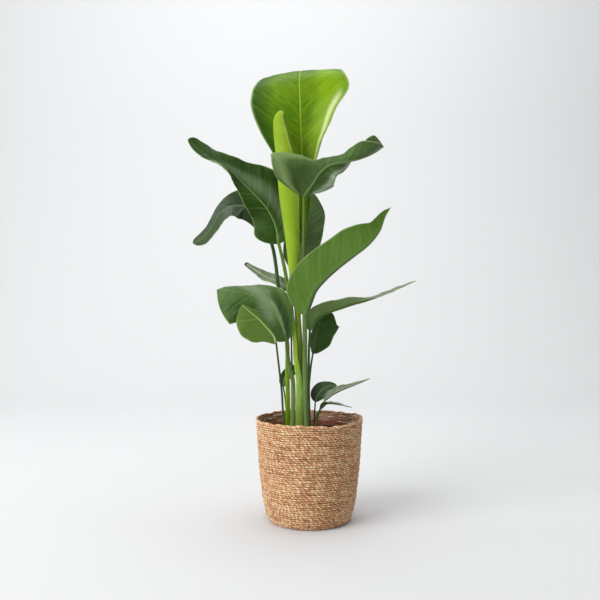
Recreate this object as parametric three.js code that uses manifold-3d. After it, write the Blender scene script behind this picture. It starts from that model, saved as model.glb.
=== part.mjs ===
// A bird of paradise plant in its nursery pot, standing in a coiled seagrass basket.
// Millimetres, +Z up, origin on the ground at the centre of the basket's underside.
import * as THREE from 'three';
import { mergeVertices } from 'three/addons/utils/BufferGeometryUtils.js';
import Module from 'manifold-3d';

const wasm = await Module();
wasm.setup();

// ---------------------------------------------------------------- driving dimensions
const BASKET_HEIGHT = 202;
const BASKET_COILS = 50; // rows of cord from the ground to the rim
const COIL_DEPTH = 0.8; // how far the cord stands out of the groove between two rows
const BASKET_WALL = 5.2;
const BASKET_FLOOR = 6;
const BASKET_SEGMENTS = 28;
// radius of the basket's outside, [height, radius]
const BASKET_SIDE = [
  [0, 78], [6, 83], [13, 86], [25, 89.5], [49, 94],
  [79, 97.5], [114, 101], [158, 103.5], [190, 105.5], [202, 106.3],
];
// heights at which the inside of the wall turns, between the floor and the rim
const BASKET_TURNS = [130, 60, 20];
const RIM_ROUND = 2.5; // how far the top coil is rounded down on its inner side
const FOOT_ROUND = 2; // how far the floor's edge is drawn in
const SWAY_FROM = 60; // the rim's ups and downs fade out above this height


const POT_BOTTOM = BASKET_FLOOR + 0.3;
const POT_TOP = 183;
const POT_SEGMENTS = 28;
const POT_WALL = 1.6;
const POT_FLOOR = 2.4;
// the nursery pot's outside, [radius, height]: foot, wall, step below the rim band, rim
const POT_SIDE = [[66, POT_BOTTOM], [67.5, POT_BOTTOM + 2], [84, 163], [87.8, 164.5], [89.2, POT_TOP]];

const SOIL_TOP = 172;
// the soil's surface from the wall to the middle, [radius, height over SOIL_TOP]
const SOIL_SURFACE = [[84.4, -2], [80, 0.5], [62, 0], [42, 1], [20, 0.5], [0, 1]];
const GAP = 0.4; // between two pieces that stand in each other
const HOLE_SPREAD = 1.09; // an eight-sided hole clears a round stalk of its radius / HOLE_SPREAD
const HOLE_ROOM = 0.75;
const HOLE_SIDES = 8;
const HOLE_OVER = 12; // how far a hole's cutter reaches over the soil

const BLADE = 0.9; // thickness of a leaf blade
const MARGIN_MIN = 0.8; // narrowest half of a blade, at its two ends
const WAVE_GROWTH = 1.5; // power by which the waves grow from the rib to the margin
const WAVE_FULL = 0.5; // share of the widest half from which the waves have their full height
const BLADE_INSET = 0.003; // share of the midrib left bare at each end of the blade
const MIDRIB_SHARE = 0.8; // ridge under the blade against the stalk's radius, fading to the tip
// where the blade's columns lie between its left margin (-1) and its right one (1)
const LARGE_STATIONS = [-1, -0.7, -0.35, 0, 0.35, 0.7, 1];
const SMALL_STATIONS = [-1, -0.5, 0, 0.5, 1];
const LARGE_ROWS = 12; // a leaf with more rows than this is a large one
const STALK_SIDES = 7;
const STALK_STEP = 42;
const STALK_REACH = 0.16; // how far the stalk runs on under the blade, as a share of the midrib
const KEEL_STEPS = 3; // rings of the stalk under the blade
const KEEL_TAPER = 0.2; // what each of those rings loses of the stalk's radius
const KEEL_SUNK = 0.35; // how far those rings lie below the blade, as a share of the radius
const KEEL_CLEAR = 0.3;
const CHANNEL = 0.72; // radius of a stalk at the bottom of its channel against the rest
const ROLL_DEPTH = 0.8; // the rolled leaf is a little flatter from front to back
const ROLL_SIDES = 13;
const ROLL_STEPS = 24;
const ROLL_LAP = 0.35; // how far the roll's last side reaches over its first, as a share of a side
const ROLL_INNER = 0.92; // radius of the roll where it starts and
const ROLL_OUTER = 1.02; // where its free edge lies on top
const ROLL_TURN = 0.5; // angle of the free edge, in radians

// A point of a leaf is [x, height, depth]: where it shows in the front elevation, at the plane of
// the stem, to an eye in front of that plane, and how far it lies behind the plane.
const EYE = { x: -18.6, height: 436.8, distance: 1450 };
const at = ([x, height, depth]) => {
  const spread = 1 + depth / EYE.distance;
  return new THREE.Vector3(EYE.x + (x - EYE.x) * spread, depth, EYE.height + (height - EYE.height) * spread);
};

// ---------------------------------------------------------------- the leaves
// stalk: from the soil to the blade's base, radius: at its two ends, rib: the midrib from base to
// tip, face: the way the upper side looks, from base to tip, width, lift, curl: of each half from
// base to tip (mm and degrees, towards the upper side), round: the share of the length over which
// the base and the tip are rounded, wave: height, count and start of the margin's waves.
const LEAVES = [
  {
    name: 'crown_leaf', color: 0x7fa822, rows: 18, wave: [3, 1.6, 0.1],
    stalk: [[-9, 145, 16], [-9, 177, 16], [-9, 277, 20], [-10, 397, 20], [-11, 497, 20], [-8, 557, 23]],
    radius: [4.8, 3.4],
    rib: [[-8, 557, 23], [-10, 627, 28], [-14, 707, 30], [-17, 777, 28], [-19, 837, 28], [-20, 877, 38],
      [-17, 895, 64], [-13, 885, 100], [-9, 847, 136]],
    face: [[0, -1, 0.05], [0, -1, 0.1], [0, -1, 0.3], [0, -0.5, 0.9], [0, 0.2, 1]],
    left: { width: [3, 26, 40, 55, 84, 102, 91, 75, 42], lift: [20, 5, 0, -5, -5, -10],
      curl: [10, 5, 0, -5, -15, -10], round: [0.05, 0.3] },
    right: { width: [3, 12, 20, 29, 38, 49, 65, 79, 101, 95, 84, 64, 36], lift: [40, 20, 0, -5, 2, 3, 0],
      curl: [40, 60, 80, 60, 15, -5, -10], round: [0.05, 0.3] },
  },
  {
    name: 'hood_leaf', color: 0x5d8439, rows: 20, wave: [2.5, 3.5, 0.2],
    stalk: [[-3, 145, 6.5], [-3, 177, 6.5], [-6, 237, 6], [-8, 317, 4], [-9, 405, 1], [-11, 537, -8],
      [-11, 597, -14], [-11, 643, -20]],
    radius: [4.4, 3.3],
    rib: [[-11, 643, -20], [-2, 657, -31], [9, 672, -40], [22, 691, -48], [41, 706, -56], [67, 713, -64],
      [97, 719, -72], [125, 729, -78], [149, 743, -82]],
    face: [[-0.2, 1, 0.1], [-0.2, 1, 0.1], [-0.1, 1, 0.2], [0, 1, 0.3], [0, 0.85, 0.5], [0, 0.4, 0.9],
      [0, -0.1, 1], [0, -0.4, 0.9], [0, -0.6, 0.8]],
    left: { width: [12, 15, 26, 37, 34, 28, 23, 28, 35, 27, 27, 30, 31], lift: [0, 0, 0, 0, 40, 55, 55],
      curl: [10, 10, 0, 0, 0, 0], round: [0.1, 0.03] },
    right: { width: [47, 74, 95, 94, 32, 20, 17, 17, 26, 32, 33, 30, 22],
      lift: [-8, -8, -4, 5, 20, 30, 50, 55], curl: [0, 0, 20, 50, 80, 80, 30, 0], round: [0.1, 0.05] },
  },
  {
    name: 'upper_left_leaf', color: 0x2f5a26, rows: 18, wave: [4.5, 3, 0.1],
    stalk: [[-20, 145, -6], [-20, 177, -6], [-21, 237, -7], [-22, 277, -7], [-27, 317, -7.5],
      [-28.5, 353, -8], [-35, 411, -4], [-42, 457, 1], [-51, 507, 11], [-61, 549, 20]],
    radius: [6, 3.4],
    rib: [[-61, 549, 20], [-70, 590, 27], [-86, 621, 29], [-109, 647, 28], [-135, 673, 25],
      [-163, 700, 18], [-205, 727, 8], [-243, 758, -6]],
    face: [[0.1, -1, 0.2], [0.1, -0.95, 0.3], [0, -0.9, 0.4], [-0.1, -0.7, 0.6], [-0.1, -0.7, 0.6]],
    left: { width: [50, 45, 37, 35, 25, 23, 26, 27, 15], lift: [5, 0, 5, 10, 10, 10],
      curl: [10, -10, 0, 60, 50, 30], round: [0.1, 0.05] },
    right: { width: [24, 46, 65, 73, 64, 38, 26, 24, 14], lift: [0, -5, 0, 5, 0],
      curl: [0, -10, -10, 0], round: [0.1, 0.05] },
  },
  {
    name: 'drooping_left_leaf', color: 0x55744f, rows: 14, wave: [2, 2.5, 0.3],
    stalk: [[-43, 145, 7], [-43, 177, 7], [-43, 237, 9], [-44, 297, 11], [-44, 347, 13], [-51, 397, 16],
      [-61, 457, 23], [-67, 507, 34], [-73, 541, 44], [-82, 567, 52]],
    radius: [4.8, 3.6],
    rib: [[-82, 567, 52], [-101, 605, 58], [-123, 623, 60], [-141, 627, 60], [-159, 625, 57],
      [-174, 617, 52], [-185, 603, 47],
      [-197, 581, 40], [-213, 563, 35], [-232, 549, 30]],
    face: [[0.1, -1, 0.3], [-0.2, -0.85, 0.4], [-0.5, -0.8, 0.3], [-0.6, -0.7, 0.2]],
    left: { width: [16, 24, 31, 37, 34, 32, 34, 28], lift: [10, 5, 10, 20], curl: [0, 0],
      round: [0.15, 0.07] },
    right: { width: [16, 32, 41, 33, 18, 11, 11, 10], lift: [10, 5, 10, 20], curl: [0, 0],
      round: [0.15, 0.07] },
  },
  {
    name: 'right_keeled_leaf', color: 0x61893a, rows: 16, wave: [1.5, 2, 0],
    stalk: [[-5, 145, -8], [-5, 177, -8], [-8, 237, -9], [-9, 311, -10], [-9, 367, -12], [-9, 405, -17]],
    radius: [7, 4.4],
    rib: [[-9, 405, -17], [0, 431, -24], [11, 457, -32], [30, 479, -40], [56, 502, -48], [88, 526, -54],
      [117, 548, -60], [139, 574, -62], [151, 604, -62], [163, 622, -60]],
    face: [[-0.56, 0.7, 0.42], [-0.56, 0.7, 0.42], [-0.6, 0.6, 0.5], [-0.8, 0.5, 0.2], [-0.8, 0.5, 0.2]],
    left: { width: [36, 45, 52, 55, 53, 51, 45, 32, 1], lift: [45, 40, 40, 40], curl: [0, 0],
      round: [0.14, 0.05] },
    right: { width: [36, 50, 57, 57, 53, 51, 42, 20, 1], lift: [50, 45, 45, 40], curl: [0, 0],
      round: [0.14, 0.05] },
  },
  {
    name: 'long_tipped_leaf', color: 0x4f7036, rows: 14, wave: [1.2, 2.3, 0.2],
    stalk: [[1, 145, 15], [1, 177, 15], [-1, 237, 15], [-1, 327, 15], [0, 357, 13], [1, 375, 11]],
    radius: [3.1, 2.5],
    rib: [[1, 375, 11], [10, 394, 13], [23, 407, 15], [43, 415, 16], [65, 422, 17], [87, 429, 20],
      [113, 436, 23], [151, 449, 27], [213, 475, 32]],
    face: [[-0.5, 0.3, 0.7], [-0.3, 0.1, 0.9], [-0.1, 0, 1], [0, -0.1, 1], [0, -0.1, 1]],
    left: { width: [24, 34, 35, 29, 22, 18, 12, 4], lift: [60, 45, 28, 10, 5, 3], curl: [0, 0],
      round: [0.14, 0.03] },
    right: { width: [18, 26, 32, 32, 26, 20, 12, 4], lift: [60, 42, 26, 8, 4, 0], curl: [0, 0],
      round: [0.14, 0.03] },
  },
  {
    name: 'arched_left_leaf', color: 0x456e34, rows: 16, wave: [3, 2.2, 0.45],
    stalk: [[-34, 145, -2], [-34, 177, -2], [-32, 237, -3], [-33, 275, -5], [-38, 297, -9],
      [-42, 317, -12], [-44, 337, -16], [-45, 355, -18]],
    radius: [5.4, 3.8],
    rib: [[-45, 355, -18], [-53, 379, -23], [-64, 403, -25], [-80, 425, -25], [-101, 441, -25],
      [-127, 451, -28], [-155, 456, -33], [-185, 457, -38]],
    face: [[0.2, -0.9, 0.3], [-0.1, -0.85, 0.5], [-0.1, -0.8, 0.6], [-0.2, -0.8, 0.6], [-0.2, -0.8, 0.5]],
    left: { width: [28, 47, 62, 70, 67, 67, 79, 76], lift: [5, 0, 0, 5], curl: [10, -10, -20, 0],
      round: [0.16, 0.15] },
    right: { width: [16, 25, 36, 52, 56, 45, 27, 8], lift: [10, 5, 0, -10, -20],
      curl: [-10, -20, -40, -60, -30], round: [0.16, 0.1] },
  },
  {
    name: 'folded_left_leaf', color: 0x648c38, rows: 13, wave: [2, 2.2, 0.3],
    stalk: [[-50, 145, -3], [-50, 177, -3], [-53, 219, -3], [-55, 253, -6], [-58, 280, -14],
      [-62, 314, -26], [-66, 349, -38]],
    radius: [2.5, 1.9],
    rib: [[-66, 349, -38], [-71, 365, -54], [-84, 381, -70], [-100, 398, -84], [-118, 413, -94],
      [-135, 428, -100]],
    face: [[-0.2, 0.9, 0.3], [-0.1, 0.9, 0.3], [-0.1, 0.9, 0.3]],
    left: { width: [16, 26, 30, 30, 26, 16, 4], lift: [88, 85, 80], curl: [0, 0], round: [0.2, 0.12] },
    right: { width: [16, 30, 43, 48, 46, 36, 12], lift: [5, 0, -5], curl: [10, 10], round: [0.2, 0.12] },
  },
  {
    name: 'round_right_leaf', color: 0x2c4d28, rows: 10, wave: [0, 1, 0],
    stalk: [[-1, 145, 24], [-1, 177, 24], [-3, 227, 24], [-1, 259, 24], [3, 302, 29], [7, 329, 33]],
    radius: [2.4, 1.8],
    rib: [[7, 329, 33], [9, 347, 34], [13, 367, 36], [20, 389, 39], [29, 407, 45], [41, 417, 53]],
    face: [[0.2, -0.95, 0.2], [0.3, -0.95, 0.2], [0.1, -0.9, 0.4]],
    left: { width: [10, 16, 18, 18, 16, 10], lift: [40, 40, 30], curl: [0, 0], round: [0.3, 0.4] },
    right: { width: [26, 34, 37, 40, 40, 34], lift: [0, 0], curl: [0, 0], round: [0.3, 0.2] },
  },
  {
    name: 'dry_tipped_leaf', color: 0x4c5f48, rows: 9, wave: [0, 1, 0],
    stalk: [[-37, 145, 12], [-37, 177, 12], [-35, 237, 17], [-35, 303, 24], [-36, 367, 34],
      [-36, 417, 40], [-36, 451, 42]],
    radius: [2.3, 1.6],
    rib: [[-36, 451, 42], [-51, 466, 44], [-69, 476, 46], [-87, 483, 48], [-105, 494, 50], [-129, 510, 54]],
    face: [[-0.2, -0.8, 0.6], [-0.2, -0.8, 0.6]],
    left: { width: [9, 11, 12, 12, 9, 6], lift: [20, 20, 30], curl: [0, 0], round: [0.2, 0.05] },
    right: { width: [11, 13, 13, 11, 7, 5], lift: [20, 20, 30], curl: [0, 0], round: [0.2, 0.05] },
  },
  {
    name: 'dark_back_leaf', color: 0x2d4a30, rows: 11, wave: [1.5, 2, 0.2],
    stalk: [[-15, 145, 24], [-15, 177, 24], [-15, 257, 28], [-17, 357, 38], [-22, 437, 50], [-25, 489, 60]],
    radius: [3.6, 2.6],
    rib: [[-25, 489, 60], [-20, 523, 62], [-13, 561, 66], [-7, 597, 70], [-1, 627, 76], [5, 651, 86]],
    face: [[0, -1, 0.1], [0, -1, 0.2], [0, -0.9, 0.5]],
    left: { width: [20, 34, 38, 34, 24, 12], lift: [10, 5, 10], curl: [0, 0], round: [0.2, 0.35] },
    right: { width: [18, 32, 39, 40, 38, 24], lift: [10, 0, 0], curl: [0, 0], round: [0.2, 0.35] },
  },
  {
    name: 'low_back_leaf', color: 0x36553a, rows: 8, wave: [0, 1, 0],
    stalk: [[-43, 145, 17], [-43, 177, 17], [-46, 217, 24], [-49, 245, 30], [-52, 263, 32]],
    radius: [2, 1.6],
    rib: [[-52, 263, 32], [-51, 277, 32], [-43, 289, 34], [-29, 296, 37], [-13, 297, 40], [1, 295, 42]],
    face: [[0, -0.9, 0.5], [0, -0.9, 0.5]],
    left: { width: [8, 10, 12, 12, 8, 3], lift: [10, 10], curl: [0, 0], round: [0.2, 0.1] },
    right: { width: [8, 10, 12, 10, 6, 2], lift: [10, 10], curl: [0, 0], round: [0.2, 0.1] },
  },
  {
    name: 'seedling_broad_leaf', color: 0x2f4f33, rows: 7, wave: [0, 1, 0],
    stalk: [[10, 145, 10], [10, 177, 10], [10, 201, 9], [11, 217, 8], [12, 233, 7]],
    radius: [1.8, 1.5],
    rib: [[12, 233, 7], [16, 245, 6], [25, 257, 4], [39, 265, 1], [55, 266, -2]],
    face: [[0, -0.9, 0.5], [0, -0.9, 0.5]],
    left: { width: [12, 16, 16, 9, 3], lift: [10, 10], curl: [0, 0], round: [0.3, 0.1] },
    right: { width: [10, 15, 16, 14, 5], lift: [10, 10], curl: [0, 0], round: [0.3, 0.1] },
  },
  {
    name: 'seedling_long_leaf', color: 0x4b6b45, rows: 7, wave: [0, 1, 0],
    stalk: [[7, 145, 3], [7, 177, 3], [13, 201, 2], [22, 220, 0], [30, 235, -4]],
    radius: [2, 1.5],
    rib: [[30, 235, -4], [41, 245, -8], [55, 253, -12], [71, 260, -16], [95, 269, -22], [122, 280, -28]],
    face: [[-0.2, 0.3, 0.9], [-0.2, 0.3, 0.9], [-0.2, 0.1, 0.95]],
    left: { width: [8, 12, 13, 10, 6, 2], lift: [40, 30, 20], curl: [0, 0], round: [0.2, 0.05] },
    right: { width: [8, 12, 13, 10, 6, 2], lift: [40, 30, 20], curl: [0, 0], round: [0.2, 0.05] },
  },
  {
    name: 'seedling_low_leaf', color: 0x41603f, rows: 7, wave: [0, 1, 0],
    stalk: [[15, 145, 0], [15, 177, 0], [16, 191, -1], [18, 207, -4], [22, 218, -7]],
    radius: [1.8, 1.4],
    rib: [[22, 218, -7], [30, 227, -11], [37, 231, -15], [49, 230, -21], [65, 227, -27], [85, 222, -33]],
    face: [[-0.2, 0.3, 0.9], [0, 0.1, 1], [0.2, 0, 1]],
    left: { width: [6, 9, 10, 8, 5, 2], lift: [30, 10, 10], curl: [0, 0], round: [0.2, 0.05] },
    right: { width: [6, 9, 10, 8, 5, 2], lift: [30, 10, 10], curl: [0, 0], round: [0.2, 0.05] },
  },
];

// The new leaf is still rolled up: [x, height, depth, radius] from the soil to its slanting tip.
const ROLLED = [
  [-14, 145, 6, 4.8], [-14, 177, 6, 4.8], [-18, 247, 5.5, 5], [-20, 297, 4.5, 5.2],
  [-21, 347, 1, 5.6], [-23, 405, -2, 6.2], [-25, 437, -3, 8], [-29, 477, -3, 10.3],
  [-31, 523, -4, 13.2], [-33, 557, -5, 15.4], [-35, 587, -6, 17.6], [-38, 637, -7, 22],
  [-42, 681, -8, 22], [-45, 717, -8, 21.2], [-50, 747, -8, 19.8], [-55, 775, -8, 17.5],
  [-58, 795, -8, 13], [-57, 807, -8, 8], [-55, 815, -8, 3],
];

// ---------------------------------------------------------------- helpers
const clamp01 = (x) => Math.min(1, Math.max(0, x));
const radians = THREE.MathUtils.degToRad;

/** A smooth value a share t of the way along evenly spaced values. */
function along(values, t) {
  const last = values.length - 1;
  const i = Math.min(last - 1, Math.floor(t * last));
  const s = t * last - i;
  const p1 = values[i];
  const p2 = values[i + 1];
  const p0 = i > 0 ? values[i - 1] : 2 * p1 - p2;
  const p3 = i + 2 <= last ? values[i + 2] : 2 * p2 - p1;
  const a = (p2 - p0) / 2;
  const b = (p3 - p1) / 2;
  return (2 * p1 - 2 * p2 + a + b) * s ** 3 + (3 * p2 - 3 * p1 - 2 * a - b) * s ** 2 + a * s + p1;
}

/** A curve through points given in the elevation. */
const path = (points) => new THREE.CatmullRomCurve3(points.map(at), false, 'catmullrom', 0.5);

/** A geometry of bare triangles, with its doubled vertices joined. */
function bare(geometry) {
  const g = geometry.clone();
  g.deleteAttribute('normal');
  g.deleteAttribute('uv');
  const merged = mergeVertices(g, 1e-4);
  const index = merged.index.array;
  const kept = [];
  for (let k = 0; k < index.length; k += 3) {
    const [a, b, c] = [index[k], index[k + 1], index[k + 2]];
    if (a !== b && b !== c && c !== a) kept.push(a, b, c);
  }
  merged.setIndex(kept);
  return merged;
}

/** A manifold-3d solid of a closed geometry. */
function solid(geometry) {
  const g = bare(geometry);
  return new wasm.Manifold(new wasm.Mesh({
    numProp: 3,
    vertProperties: new Float32Array(g.attributes.position.array),
    triVerts: new Uint32Array(g.index.array),
  }));
}

/** A three.js geometry of a manifold-3d solid. */
function geometryOf(body) {
  const mesh = body.getMesh();
  const positions = new Float32Array((mesh.vertProperties.length / mesh.numProp) * 3);
  for (let k = 0; k < positions.length / 3; k += 1) {
    positions.set(mesh.vertProperties.subarray(k * mesh.numProp, k * mesh.numProp + 3), 3 * k);
  }
  const g = new THREE.BufferGeometry();
  g.setAttribute('position', new THREE.BufferAttribute(positions, 3));
  g.setIndex(new THREE.BufferAttribute(new Uint32Array(mesh.triVerts), 1));
  g.computeVertexNormals();
  return g;
}

/** A solid lofted through rings of the same number of points, closed with a fan at both ends. */
function loft(rings) {
  const sides = rings[0].length;
  const positions = [];
  const index = [];
  rings.forEach((ring) => ring.forEach((p) => positions.push(p.x, p.y, p.z)));
  for (let i = 0; i + 1 < rings.length; i += 1) {
    for (let k = 0; k < sides; k += 1) {
      const a = i * sides + k;
      const b = i * sides + ((k + 1) % sides);
      index.push(a, b, b + sides, a, b + sides, a + sides);
    }
  }
  for (const [ring, turn] of [[0, false], [rings.length - 1, true]]) {
    const centre = rings[ring].reduce((sum, p) => sum.add(p), new THREE.Vector3()).divideScalar(sides);
    const c = positions.length / 3;
    positions.push(centre.x, centre.y, centre.z);
    for (let k = 0; k < sides; k += 1) {
      const a = ring * sides + k;
      const b = ring * sides + ((k + 1) % sides);
      index.push(...(turn ? [c, a, b] : [c, b, a]));
    }
  }
  const g = new THREE.BufferGeometry();
  g.setAttribute('position', new THREE.Float32BufferAttribute(positions, 3));
  g.setIndex(index);
  return g;
}

/** Rings round a line of points: outline gives a ring's points in its own plane, x along side. */
function ringsAlong(points, side, outline) {
  const rings = [];
  let across = side.clone();
  points.forEach((p, i) => {
    const after = points[Math.min(i + 1, points.length - 1)];
    const before = points[Math.max(i - 1, 0)];
    const tangent = after.clone().sub(before).normalize();
    across = across.clone().addScaledVector(tangent, -across.dot(tangent)).normalize();
    const other = new THREE.Vector3().crossVectors(tangent, across);
    rings.push(outline(i).map(([x, y]) => p.clone().addScaledVector(across, x).addScaledVector(other, y)));
  });
  return rings;
}

// ---------------------------------------------------------------- a leaf
/** How much of its full width a blade has where it is rounded off towards an end. */
const rounded = (share) => Math.sqrt(Math.max(0, 1 - (1 - clamp01(share)) ** 2));

/** The line and the cross direction of a blade at t, from its base (0) to its tip (1). */
function bladeFrame(leaf, rib, t) {
  const point = rib.getPointAt(t);
  const tangent = rib.getTangentAt(t).normalize();
  const normal = new THREE.Vector3(...[0, 1, 2].map((k) => along(leaf.face.map((f) => f[k]), t)));
  normal.addScaledVector(tangent, -normal.dot(tangent)).normalize();
  return { point, tangent, normal, side: new THREE.Vector3().crossVectors(tangent, normal) };
}

/** A point of the blade's middle surface: u is -1 on the left margin, 0 on the rib, 1 on the right. */
function bladePoint(leaf, frame, t, u) {
  const half = u < 0 ? leaf.left : leaf.right;
  const widest = Math.max(...half.width);
  const ends = rounded(t / half.round[0]) * rounded((1 - t) / half.round[1]);
  const width = Math.max(MARGIN_MIN, along(half.width, t) * ends);
  const lift = radians(along(half.lift, t));
  const curl = radians(along(half.curl, t)) || 1e-4;
  const share = Math.abs(u);
  const out = (width * (Math.sin(lift + curl * share) - Math.sin(lift))) / curl;
  const up = (width * (Math.cos(lift) - Math.cos(lift + curl * share))) / curl;
  const [height, count, start] = leaf.wave;
  const grown = height * share ** WAVE_GROWTH * Math.min(1, width / (WAVE_FULL * widest));
  const wave = grown * Math.sin(2 * Math.PI * (count * t + start));
  const onRib = frame.point.clone();
  return onRib.addScaledVector(frame.side, Math.sign(u) * out).addScaledVector(frame.normal, up + wave);
}

/** The blade as a thin closed sheet, ridged along its underside where the midrib runs. */
function bladeGeometry(leaf, rib) {
  const stations = leaf.rows > LARGE_ROWS ? LARGE_STATIONS : SMALL_STATIONS;
  const columns = stations.length;
  const shares = Array.from({ length: leaf.rows + 1 }, (_, i) => (
    THREE.MathUtils.lerp(BLADE_INSET, 1 - BLADE_INSET, i / leaf.rows)));
  const frames = shares.map((t) => bladeFrame(leaf, rib, t));
  const grid = shares.map((t, i) => stations.map((u) => bladePoint(leaf, frames[i], t, u)));
  const positions = [];
  for (const face of [1, -1]) {
    grid.forEach((row, i) => row.forEach((p, j) => {
      const ahead = grid[Math.min(i + 1, leaf.rows)][j].clone().sub(grid[Math.max(i - 1, 0)][j]);
      const cross = row[Math.min(j + 1, columns - 1)].clone().sub(row[Math.max(j - 1, 0)]);
      const normal = cross.cross(ahead).normalize();
      if (stations[j] === 0) normal.copy(frames[i].normal);
      const ridge = stations[j] === 0 && face < 0 ? leaf.radius[1] * MIDRIB_SHARE * (1 - shares[i]) : 0;
      const q = p.clone().addScaledVector(normal, face * (BLADE / 2 + ridge));
      positions.push(q.x, q.y, q.z);
    }));
  }
  const index = [];
  const under = (leaf.rows + 1) * columns;
  const upper = (i, j) => i * columns + j;
  const lower = (i, j) => under + upper(i, j);
  const quad = (a, b, c, d) => index.push(a, b, c, a, c, d);
  for (let i = 0; i < leaf.rows; i += 1) {
    for (let j = 0; j + 1 < columns; j += 1) {
      quad(upper(i, j), upper(i, j + 1), upper(i + 1, j + 1), upper(i + 1, j));
      index.push(lower(i, j), lower(i + 1, j + 1), lower(i, j + 1));
      index.push(lower(i, j), lower(i + 1, j), lower(i + 1, j + 1));
    }
    const end = columns - 1;
    quad(upper(i, 0), upper(i + 1, 0), lower(i + 1, 0), lower(i, 0));
    quad(upper(i, end), lower(i, end), lower(i + 1, end), upper(i + 1, end));
  }
  for (let j = 0; j + 1 < columns; j += 1) {
    const tip = leaf.rows;
    quad(upper(0, j), lower(0, j), lower(0, j + 1), upper(0, j + 1));
    quad(upper(tip, j), upper(tip, j + 1), lower(tip, j + 1), lower(tip, j));
  }
  const g = new THREE.BufferGeometry();
  g.setAttribute('position', new THREE.Float32BufferAttribute(positions, 3));
  g.setIndex(index);
  return g;
}

/** The leaf stalk, channelled on its upper side, running out under the base of the blade. */
function stalkGeometry(leaf, rib) {
  const curve = path(leaf.stalk);
  const steps = Math.max(6, Math.round(curve.getLength() / STALK_STEP));
  const points = curve.getSpacedPoints(steps);
  const [thick, thin] = leaf.radius;
  const radii = points.map((_, i) => THREE.MathUtils.lerp(thick, thin, i / steps));
  for (let k = 1; k <= KEEL_STEPS; k += 1) {
    const frame = bladeFrame(leaf, rib, (STALK_REACH * k) / KEEL_STEPS);
    points.push(frame.point.clone().addScaledVector(frame.normal, -KEEL_SUNK * thin - KEEL_CLEAR));
    radii.push(thin * (1 - KEEL_TAPER * k));
  }
  const start = new THREE.Vector3(...leaf.face[0]);
  const outline = (i) => Array.from({ length: STALK_SIDES }, (_, k) => {
    const angle = (2 * Math.PI * k) / STALK_SIDES;
    const r = radii[i] * (k === 0 ? CHANNEL : 1);
    return [r * Math.cos(angle), r * Math.sin(angle)];
  });
  return loft(ringsAlong(points, start, outline));
}

function leafBody(leaf) {
  const rib = path(leaf.rib);
  return solid(bladeGeometry(leaf, rib)).add(solid(stalkGeometry(leaf, rib)));
}

/** The rolled leaf: its outer edge lies over the roll in a low step that runs its whole length. */
function rolledGeometry() {
  const curve = path(ROLLED);
  const shares = Array.from({ length: ROLL_STEPS + 1 }, (_, i) => i / ROLL_STEPS);
  const radii = shares.map((t) => along(ROLLED.map((p) => p[3]), t));
  const outline = (i) => Array.from({ length: ROLL_SIDES }, (_, k) => {
    const angle = (2 * Math.PI * k) / (ROLL_SIDES - ROLL_LAP) + ROLL_TURN;
    const r = radii[i] * THREE.MathUtils.lerp(ROLL_INNER, ROLL_OUTER, k / (ROLL_SIDES - 1));
    return [ROLL_DEPTH * r * Math.cos(angle), r * Math.sin(angle)];
  });
  return loft(ringsAlong(shares.map((t) => curve.getPoint(t)), new THREE.Vector3(0, -1, 0), outline));
}

// ---------------------------------------------------------------- basket, pot and soil
/** The radius of the basket's outside at a height, without the coils. */
function basketRadius(height) {
  const passed = BASKET_SIDE.filter(([z]) => z <= height).length;
  const k = Math.min(BASKET_SIDE.length - 2, Math.max(0, passed - 1));
  const [z0, r0] = BASKET_SIDE[k];
  const [z1, r1] = BASKET_SIDE[k + 1];
  return THREE.MathUtils.lerp(r0, r1, clamp01((height - z0) / (z1 - z0)));
}

/** A lathed geometry turned to stand on +Z, from [radius, height] points. */
function turned(profile, segments) {
  const g = new THREE.LatheGeometry(profile.map(([r, z]) => new THREE.Vector2(r, z)), segments);
  return bare(g.rotateX(Math.PI / 2));
}

/** The basket's section from the middle of its underside over the rim to the middle of its floor. */
function basketProfile() {
  const pitch = BASKET_HEIGHT / BASKET_COILS;
  const outer = [[0, 0], [BASKET_SIDE[0][1] - FOOT_ROUND, 0]];
  for (let k = 0; k < BASKET_COILS; k += 1) {
    const crest = (k + 0.5) * pitch;
    const groove = (k + 1) * pitch;
    outer.push([basketRadius(crest), crest]);
    if (k + 1 < BASKET_COILS) outer.push([basketRadius(groove) - COIL_DEPTH, groove]);
  }
  const rim = basketRadius(BASKET_HEIGHT) - BASKET_WALL;
  const inner = [[rim + BASKET_WALL / 2, BASKET_HEIGHT], [rim, BASKET_HEIGHT - RIM_ROUND]];
  for (const z of BASKET_TURNS) inner.push([basketRadius(z) - BASKET_WALL, z]);
  inner.push([basketRadius(BASKET_FLOOR) - BASKET_WALL - FOOT_ROUND, BASKET_FLOOR], [0, BASKET_FLOOR]);
  return [...outer, ...inner];
}

/** Coils of cord sewn one on the other, neither quite round nor quite level towards the rim. */
function basketGeometry() {
  const g = turned(basketProfile(), BASKET_SEGMENTS);
  const p = g.attributes.position;
  for (let k = 0; k < p.count; k += 1) {
    const [x, y, z] = [p.getX(k), p.getY(k), p.getZ(k)];
    const angle = Math.atan2(y, x);
    const rise = clamp01(z / BASKET_HEIGHT) ** 2;
    const spread = 1 + rise * (0.006 * Math.sin(2 * angle + 0.6) + 0.004 * Math.sin(5 * angle));
    const sway = rise * (1.1 * Math.sin(3 * angle + 1) + 0.7 * Math.sin(7 * angle));
    p.setXYZ(k, x * spread, y * spread, z > SWAY_FROM ? z + sway : z);
  }
  return g;
}

/** The nursery pot: an open tapering tub with a band below its rim. */
function potGeometry() {
  const floor = POT_BOTTOM + POT_FLOOR;
  const inside = POT_SIDE.slice(2).reverse().map(([r, z]) => [r - POT_WALL, z]);
  const corner = [POT_SIDE[0][0] - POT_WALL, floor];
  return turned([[0, POT_BOTTOM], ...POT_SIDE, ...inside, corner, [0, floor]], POT_SEGMENTS);
}

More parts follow.
